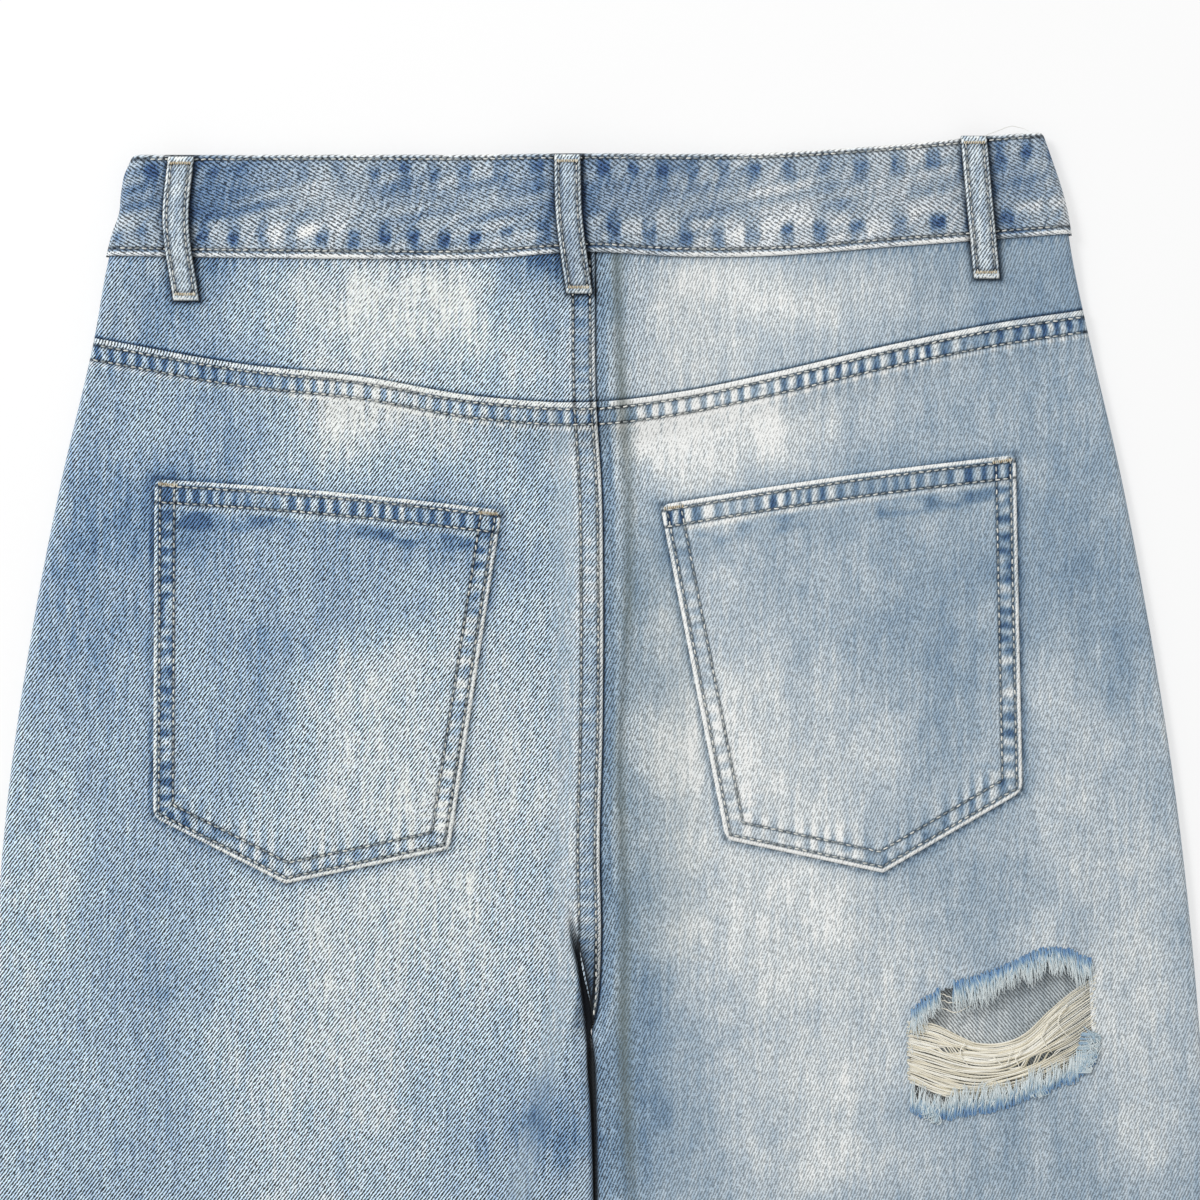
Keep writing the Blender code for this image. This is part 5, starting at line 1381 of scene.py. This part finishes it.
def makeWeft():
    # the cream weft left when the blue warp wore away: it sags, crosses itself, and parts in slits, which are
    # darkened as painted shade
    paths, sizes, tones = [], [], []
    s = linspace(0, 1, 44)
    for k in range(weft["count"]):
        share = (k + 0.5) / weft["count"]
        x = mix(weft["ends"][0] + dice.uniform(-1.0, 0.8), weft["ends"][1] + dice.uniform(-0.8, 2.0), s)
        bunch = 0.012 * sin(2 * math.pi * share * 9 + 4 * s) + 0.03 * drift(6 * s, k * 0.21, 1.0, 6)
        y = mix(weftTop(x), weftLow(x), ramp(share + bunch * sin(math.pi * s)))
        y = y + dice.uniform(0.1, 0.5) * sin(2 * math.pi * (s * dice.uniform(1.2, 3.0) + dice.random()))
        slope = -386.5 + 0.35 * (x - 190)
        slit = peak(x - 190, 9) * peak(y - slope, 2.2) + 0.8 * peak(x - 154, 5) * peak(y + 382.3, 1.6)
        y = y + 1.5 * slit * sign(y - np.where(x > 172, slope, -382.3))
        sag = 0.9 * sin(math.pi * s) * (0.4 + 0.5 * dice.random())
        z = backFace(x, y) - 0.45 - sag - 0.3 * (k % 3) + 0.12 * sin(40 * s + k)
        z = mix(z, backFace(x, y) + 0.2 + 0.1 * (k % 3), fades(minimum(s, 1 - s), 0.04))
        paths.append(stack([x, y, z], axis=1))
        sizes.append(dice.uniform(*weft["radius"]))
        # darker at the slits, as painted shade
        tones.append(ramp(dice.uniform(0.66, 1.0) + 0.1 * sin(23 * s + k) - 0.25 * slit))
    for k, stray in enumerate(weft["strays"]):
        lift = 0.2 if k > 2 else -0.8
        path = yarn([(px, py, float(backFace(px, py)) + lift) for px, py in stray], 0.5, k)
        paths.append(path)
        sizes.append(weft["strayRadius"])
        tones.append(0.85 + 0 * path[:, 0])
    piece = strands("bared_weft_yarns", paths, sizes, tones, weftCotton)
    return adopt(piece, "rip_weft_threads")


def fringeYarns(roots, reach, count, tuftEvery):
    # yarn ends hanging from an edge, the way that the edge says; they gather in tufts
    paths, sizes, tones = [], [], []
    away = roots["away"]
    s = linspace(0, 1, 11)
    for k in range(count):
        root = mix(*roots["span"], (k + dice.random()) / count)
        if any(a < root < b for a, b in roots["gaps"]):
            continue
        tuft = tuftEvery * (math.floor(root / tuftEvery + 0.35 * math.sin(root)) + 0.5)
        length = reach * (0.72 + 0.28 * float(drift(root, 0, 5.0, 91))) * dice.uniform(0.6, 1.05)
        lean = 1.2 * float(drift(root, 0, 9.0, 92)) + roots["lean"]
        curl = dice.uniform(-1.6, 1.6)
        gather = 0.4 * (tuft - root) * s ** 1.5
        x = root + gather + lean * s ** 1.4 + 1.1 * curl * s ** 2 + 0.3 * sin(5 * s + k)
        begin = dice.uniform(0.2, 3.2) + 0.9 * float(drift(root, 0, 4.0, 95))
        droop = 0.3 * away * dice.random() * s ** 3
        y = roots["line"](root) - away * begin + away * (length + begin) * s - droop
        z = backFace(x, y) + 0.35 + 0.5 * sin(math.pi * s) * dice.uniform(0.1, 1.6) + 0.4 * dice.random() * s
        paths.append(stack([x, y, z], axis=1))
        sizes.append(dice.uniform(0.2, 0.31))
        tones.append(ramp(0.95 * ease(1.3 * s) + dice.uniform(-0.12, 0.42)))
    return paths, sizes, tones


def loopedTuft(roots, reach, count, swing):
    # a snarl of yarn loops that leave the edge, turn over, and come back to it
    paths, sizes, tones = [], [], []
    (x0, y0), (x1, y1) = roots
    s = linspace(0, 1, 15)
    for k in range(count):
        a = dice.random()
        b = clip(a + dice.uniform(0.15, 0.7), 0, 1.1)
        far = dice.uniform(0.45, 1.0)
        bulge = sin(math.pi * s) ** 0.8 * far
        x = mix(mix(x0, x1, a), mix(x0, x1, b), s) + reach[0] * bulge + swing * sin(2 * math.pi * s) * far
        x = x + dice.uniform(-0.5, 0.5)
        y = mix(mix(y0, y1, a), mix(y0, y1, b), s) + reach[1] * bulge + dice.uniform(-0.5, 0.5)
        stop = dice.integers(9, 16)
        z = backFace(x, y) + 0.45 + 0.9 * dice.random() * sin(math.pi * s) + 0.3 * dice.random()
        paths.append(stack([x, y, z], axis=1)[:stop])
        sizes.append(dice.uniform(0.2, 0.3))
        tones.append(ramp(dice.uniform(0.3, 0.8) + 0.35 * bulge)[:stop])
    return paths, sizes, tones


def join(*groups):
    return [sum((list(group[k]) for group in groups), []) for k in range(3)]


lowRoots = curveThrough((137, -407.5), (150, -409.0), (160, -408.5), (166, -407.2), (186, -401.2),
                        (200, -396.0), (209.5, -391.5), (216, -385.0))
upperEdge = {"line": ripUpper, "span": (136.8, 214.0), "gaps": ((148.8, 155.0),), "lean": 0.8, "away": -1}
lowerEdge = {"line": lowRoots, "span": (136.5, 216.0), "gaps": (), "lean": 0.6, "away": 1}

yarns = [makeWeft()]
upper = join(fringeYarns(upperEdge, 13.5, 330, 4.0), fringeYarns(upperEdge, 8.0, 170, 3.0))
lower = join(fringeYarns(lowerEdge, 13.0, 330, 4.5), fringeYarns(lowerEdge, 7.0, 170, 3.0),
             loopedTuft(((138.5, -403.0), (147.5, -407.0)), (0.6, -7.5), 44, 1.6),
             loopedTuft(((206.0, -392.0), (210.0, -374.0)), (8.5, -2.0), 56, 1.5),
             loopedTuft(((186.0, -400.5), (194.0, -397.5)), (0.8, -4.0), 16, 1.0))
for name, fringe in (("rip_fringe_upper", upper), ("rip_fringe_lower", lower)):
    yarns.append(adopt(strands(name + "_yarns", *fringe, warpCotton, sides=4), name))

print("stitches")

sewingThread = cotton("topstitching thread, core-spun polyester washed down to olive grey",
                      ((0.0, "#7c8487"), (0.3, "#a9afae"), (0.6, "#cfd1cc"), (1.0, "#efefe8")), 0.7)
barThread = cotton("bar-tack thread, gold worn pale",
                   ((0.0, "#bba888"), (0.5, "#dccbaa"), (1.0, "#f3ead5")), 0.7)
stitchShape = ((-0.5, -0.25, 0.5), (-0.3, 0.2, 1.0), (0.0, 0.34, 1.05), (0.3, 0.2, 1.0), (0.5, -0.25, 0.5))


def walk(path, pitch):
    # even steps along a line given as dense (x, y) points: both ends of each
    path = np.asarray(path, float)
    run = concatenate([[0.0], cumsum(hypot(*diff(path, axis=0).T))])
    at = np.arange(0.6 * pitch, run[-1] - 0.4 * pitch, pitch)
    ends = (at - 0.5, at + 0.5)
    return [stack([np.interp(end, run, path[:, axis]) for axis in (0, 1)], axis=1) for end in ends]


def sew(name, rows, onto, surface=sewingThread, pitch=3.3, length=2.1, thick=0.34):
    # stitches along rows of (x, y) points, pressed into the cloth below them, as one joined mesh
    tree = BVHTree.FromPolygons([v.co for v in onto.data.vertices], [p.vertices for p in onto.data.polygons])
    high = 60.0
    paths, tones = [], []
    for row in rows:
        for a, b in zip(*walk(row, pitch)):
            way = (b - a) / max(np.hypot(*(b - a)), 1e-9)
            middle = (a + b) / 2
            skew = dice.uniform(-0.22, 0.22)
            points = []
            for share, lift, _ in stitchShape:
                px = middle[0] + way[0] * share * length - way[1] * skew * share * 2
                py = middle[1] + way[1] * share * length + way[0] * skew * share * 2
                origin = Vector(((px + shift[0]) * mm, (py + shift[1]) * mm, high * mm))
                hit = tree.ray_cast(origin, Vector((0, 0, -1)), 0.2)[0]
                if hit is None:
                    break
                points.append((px, py, hit.z / mm + lift))
            if len(points) == len(stitchShape):
                paths.append(points)
                tones.append(np.full(len(points), dice.uniform(0.1, 0.95)))
    profile = [girth for _, _, girth in stitchShape]
    piece = strands(name, paths, [thick] * len(paths), tones, surface, profile=profile)
    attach(piece, "root")
    extras.setdefault(onto.name.removesuffix("_cloth"), []).append(piece)
    return piece


extras = {"back_panel_right": yarns}


def alongX(curve, x0, x1, offset):
    x = spread(x0, x1, 1.5)
    return stack([x, curve(x) + offset], axis=1)


def seamRows(side):
    # rows beside the yoke seam, from the side edge to the centre back
    rows = []
    for down in stitchRows["seam"]:
        outer = sideEdge[side](yokeSeam(side * 205.0) - down) - side * 1.5
        inner = centreBack(-110.0) + (0.4 if side > 0 else -0.5)
        rows.append(alongX(yokeSeam, inner, outer, -down))
    return rows


def centreRow(y0, y1, across):
    y = spread(y0, y1, 1.5)
    return stack([centreBack(y) - across * maximum(lapShare(y), 0.35), y], axis=1)


def hemRow(side, y=-1068.5):
    x = spread(legEdge[side](y) + side * 3, sideEdge[side](y) - side * 2, 3.0)
    return stack([x, y + 0 * x], axis=1)


nearRow, farRow = stitchRows["centre"]
centreRows = [centreRow(-107.0, -370.0, nearRow), centreRow(-107.0, -327.0, farRow)]
sew("stitches_panel_left", seamRows(-1) + centreRows + [hemRow(-1)], made["back_panel_left"])
sew("stitches_panel_right", seamRows(1) + [hemRow(1)], made["back_panel_right"])
yokeRows = [centreRow(-43.0, -103.0, across) for across in (nearRow, farRow)]
sew("stitches_yoke_left", yokeRows, made["yoke_left"])
bandRows = [alongX(backLow, -203.0, 201.0, waistband["stitchUp"]),
            alongX(backTop, -190.0, 189.0, -waistband["stitchDown"])]
sew("stitches_waistband", bandRows, made["waistband"], pitch=3.1)


def insetLine(points, inset):
    # an open run of straight sides moved inwards, with its corners on their bisectors
    points = np.array(points, float)
    steps = diff(points, axis=0)
    into = stack([-steps[:, 1], steps[:, 0]], axis=1) / hypot(*steps.T)[:, None]
    before = concatenate([into[:1], into])
    after = concatenate([into, into[-1:]])
    moved = points + (before + after) * inset / (1 + (before * after).sum(axis=1))[:, None]
    shares = linspace(0, 1, 60)[1:, None]
    return concatenate([moved[:1]] + [mix(a, b, shares) for a, b in zip(moved, moved[1:])])


for which in ("left", "right"):
    corner = pocketCorner[which]
    rows = [insetLine(pocketSides(which), inset) for inset in stitchRows["pocket"]]
    a, b = sorted((corner["topOuter"], corner["topInner"]))
    share = linspace(0.015, 0.985, 120)
    for drop in stitchRows["mouth"]:
        bow = pocket["bow"] * sin(math.pi * share)
        rows.append(stack([mix(a[0], b[0], share), mix(a[1], b[1], share) + bow - drop], axis=1))
    onto = made["pocket_" + which]
    sew("stitches_pocket_" + which, rows, onto)
    slope = (b[1] - a[1]) / (b[0] - a[0])
    steps = [(end, way * (1.2 + 0.85 * k)) for end, way in ((a, 1), (b, -1)) for k in range(11)]
    bars = [[(end[0] + u, end[1] + u * slope - drop) for drop in (0.9, 2.9)] for end, u in steps]
    sew("bar_tacks_pocket_" + which, bars, onto, barThread, pitch=1.6, length=1.5, thick=0.26)

for label, loop in backLoops.items():
    onto = made["belt_loop_back_" + label]
    path = loop["path"]
    y = spread(loop["low"] + 1.2, loop["top"] - 1.2, 1.0)
    rows = [stack([path(y) + way * 3.75, y], axis=1) for way in (-1, 1)]
    sew("stitches_loop_" + label, rows, onto, pitch=3.0, length=2.3, thick=0.26)
    bars = [[(path(y) - 4.2 + 8.4 * k / 11, y + reach) for reach in (-0.75, 0.75)]
            for y in (loop["low"] + 2.9, loop["top"] - 2.9) for k in range(12)]
    sew("bar_tacks_loop_" + label, bars, onto, barThread, pitch=1.0, length=1.3, thick=0.24)

# a loose thread end that arcs up from the waistband's edge, beside the right loop
threadPath = ((168.0, 9.4), (172.5, 11.4), (179.3, 13.6), (184.0, 12.9), (187.0, 11.6))
path = yarn([(px, py, float(backFace(px, backTop(px))) + 1.4) for px, py in threadPath], 0.2, 9)
looseThread = strands("loose_thread", [path], [0.16], [0.9 + 0 * path[:, 0]], sewingThread)
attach(looseThread, "root")
extras["waistband"].append(looseThread)

print("stage, light and camera")

view = {"x": 2.4 * mm, "y": 345.1 * mm, "height": 2.2, "wide": 0.516, "sensor": 36.0}

half = 6.0
corners = [(x * half, y * half, -0.2 * mm) for x, y in ((-1, -1), (1, -1), (1, 1), (-1, 1))]
mesh = bpy.data.meshes.new("floor")
mesh.from_pydata(corners, [], [(0, 1, 2, 3)])
floor = bpy.data.objects.new("floor", mesh)
bpy.context.scene.collection.objects.link(floor)
paper, tree = emptyMaterial("white paper floor")  # matt, and lit up a little where it is seen
shader = node(tree, "ShaderNodeBsdfPrincipled",
              inputs={"Base Color": (0.97, 0.97, 0.97, 1), "Roughness": 0.95, "Specular IOR Level": 0.1})
glow = node(tree, "ShaderNodeEmission", inputs={"Color": (1, 1, 1, 1)})
seen = node(tree, "ShaderNodeLightPath").outputs["Is Camera Ray"]
part = node(tree, "ShaderNodeMath", {"operation": "MULTIPLY"}, {0: seen, 1: 0.6}).outputs[0]
lit = node(tree, "ShaderNodeMixShader", inputs={0: part, 1: shader.outputs[0], 2: glow.outputs[0]})
node(tree, "ShaderNodeOutputMaterial", inputs={"Surface": lit.outputs[0]})
floor.data.materials.append(paper)

world = bpy.data.worlds.new("white room")
bpy.context.scene.world = world
world.use_nodes = True
background = world.node_tree.nodes["Background"]
background.inputs["Color"].default_value = (1, 1, 1, 1)
background.inputs["Strength"].default_value = 0.6

key = bpy.data.lights.new("softbox", "AREA")
key.shape = "SQUARE"
key.size = 0.9
key.energy = 40
lamp = bpy.data.objects.new("softbox", key)
bpy.context.scene.collection.objects.link(lamp)
lamp.location = (-1.5, 1.6, 1.9)
lamp.rotation_euler = (Vector((0.0, 0.3, 0.0)) - lamp.location).to_track_quat("-Z", "Y").to_euler()

cameraData = bpy.data.cameras.new("camera")
cameraData.sensor_width = view["sensor"]
cameraData.lens = view["sensor"] * view["height"] / view["wide"]
cameraData.clip_end = 50.0
camera = bpy.data.objects.new("camera", cameraData)
camera.location = (view["x"], view["y"], view["height"])
bpy.context.scene.collection.objects.link(camera)
bpy.context.scene.camera = camera
bpy.context.scene.view_settings.view_transform = "Standard"
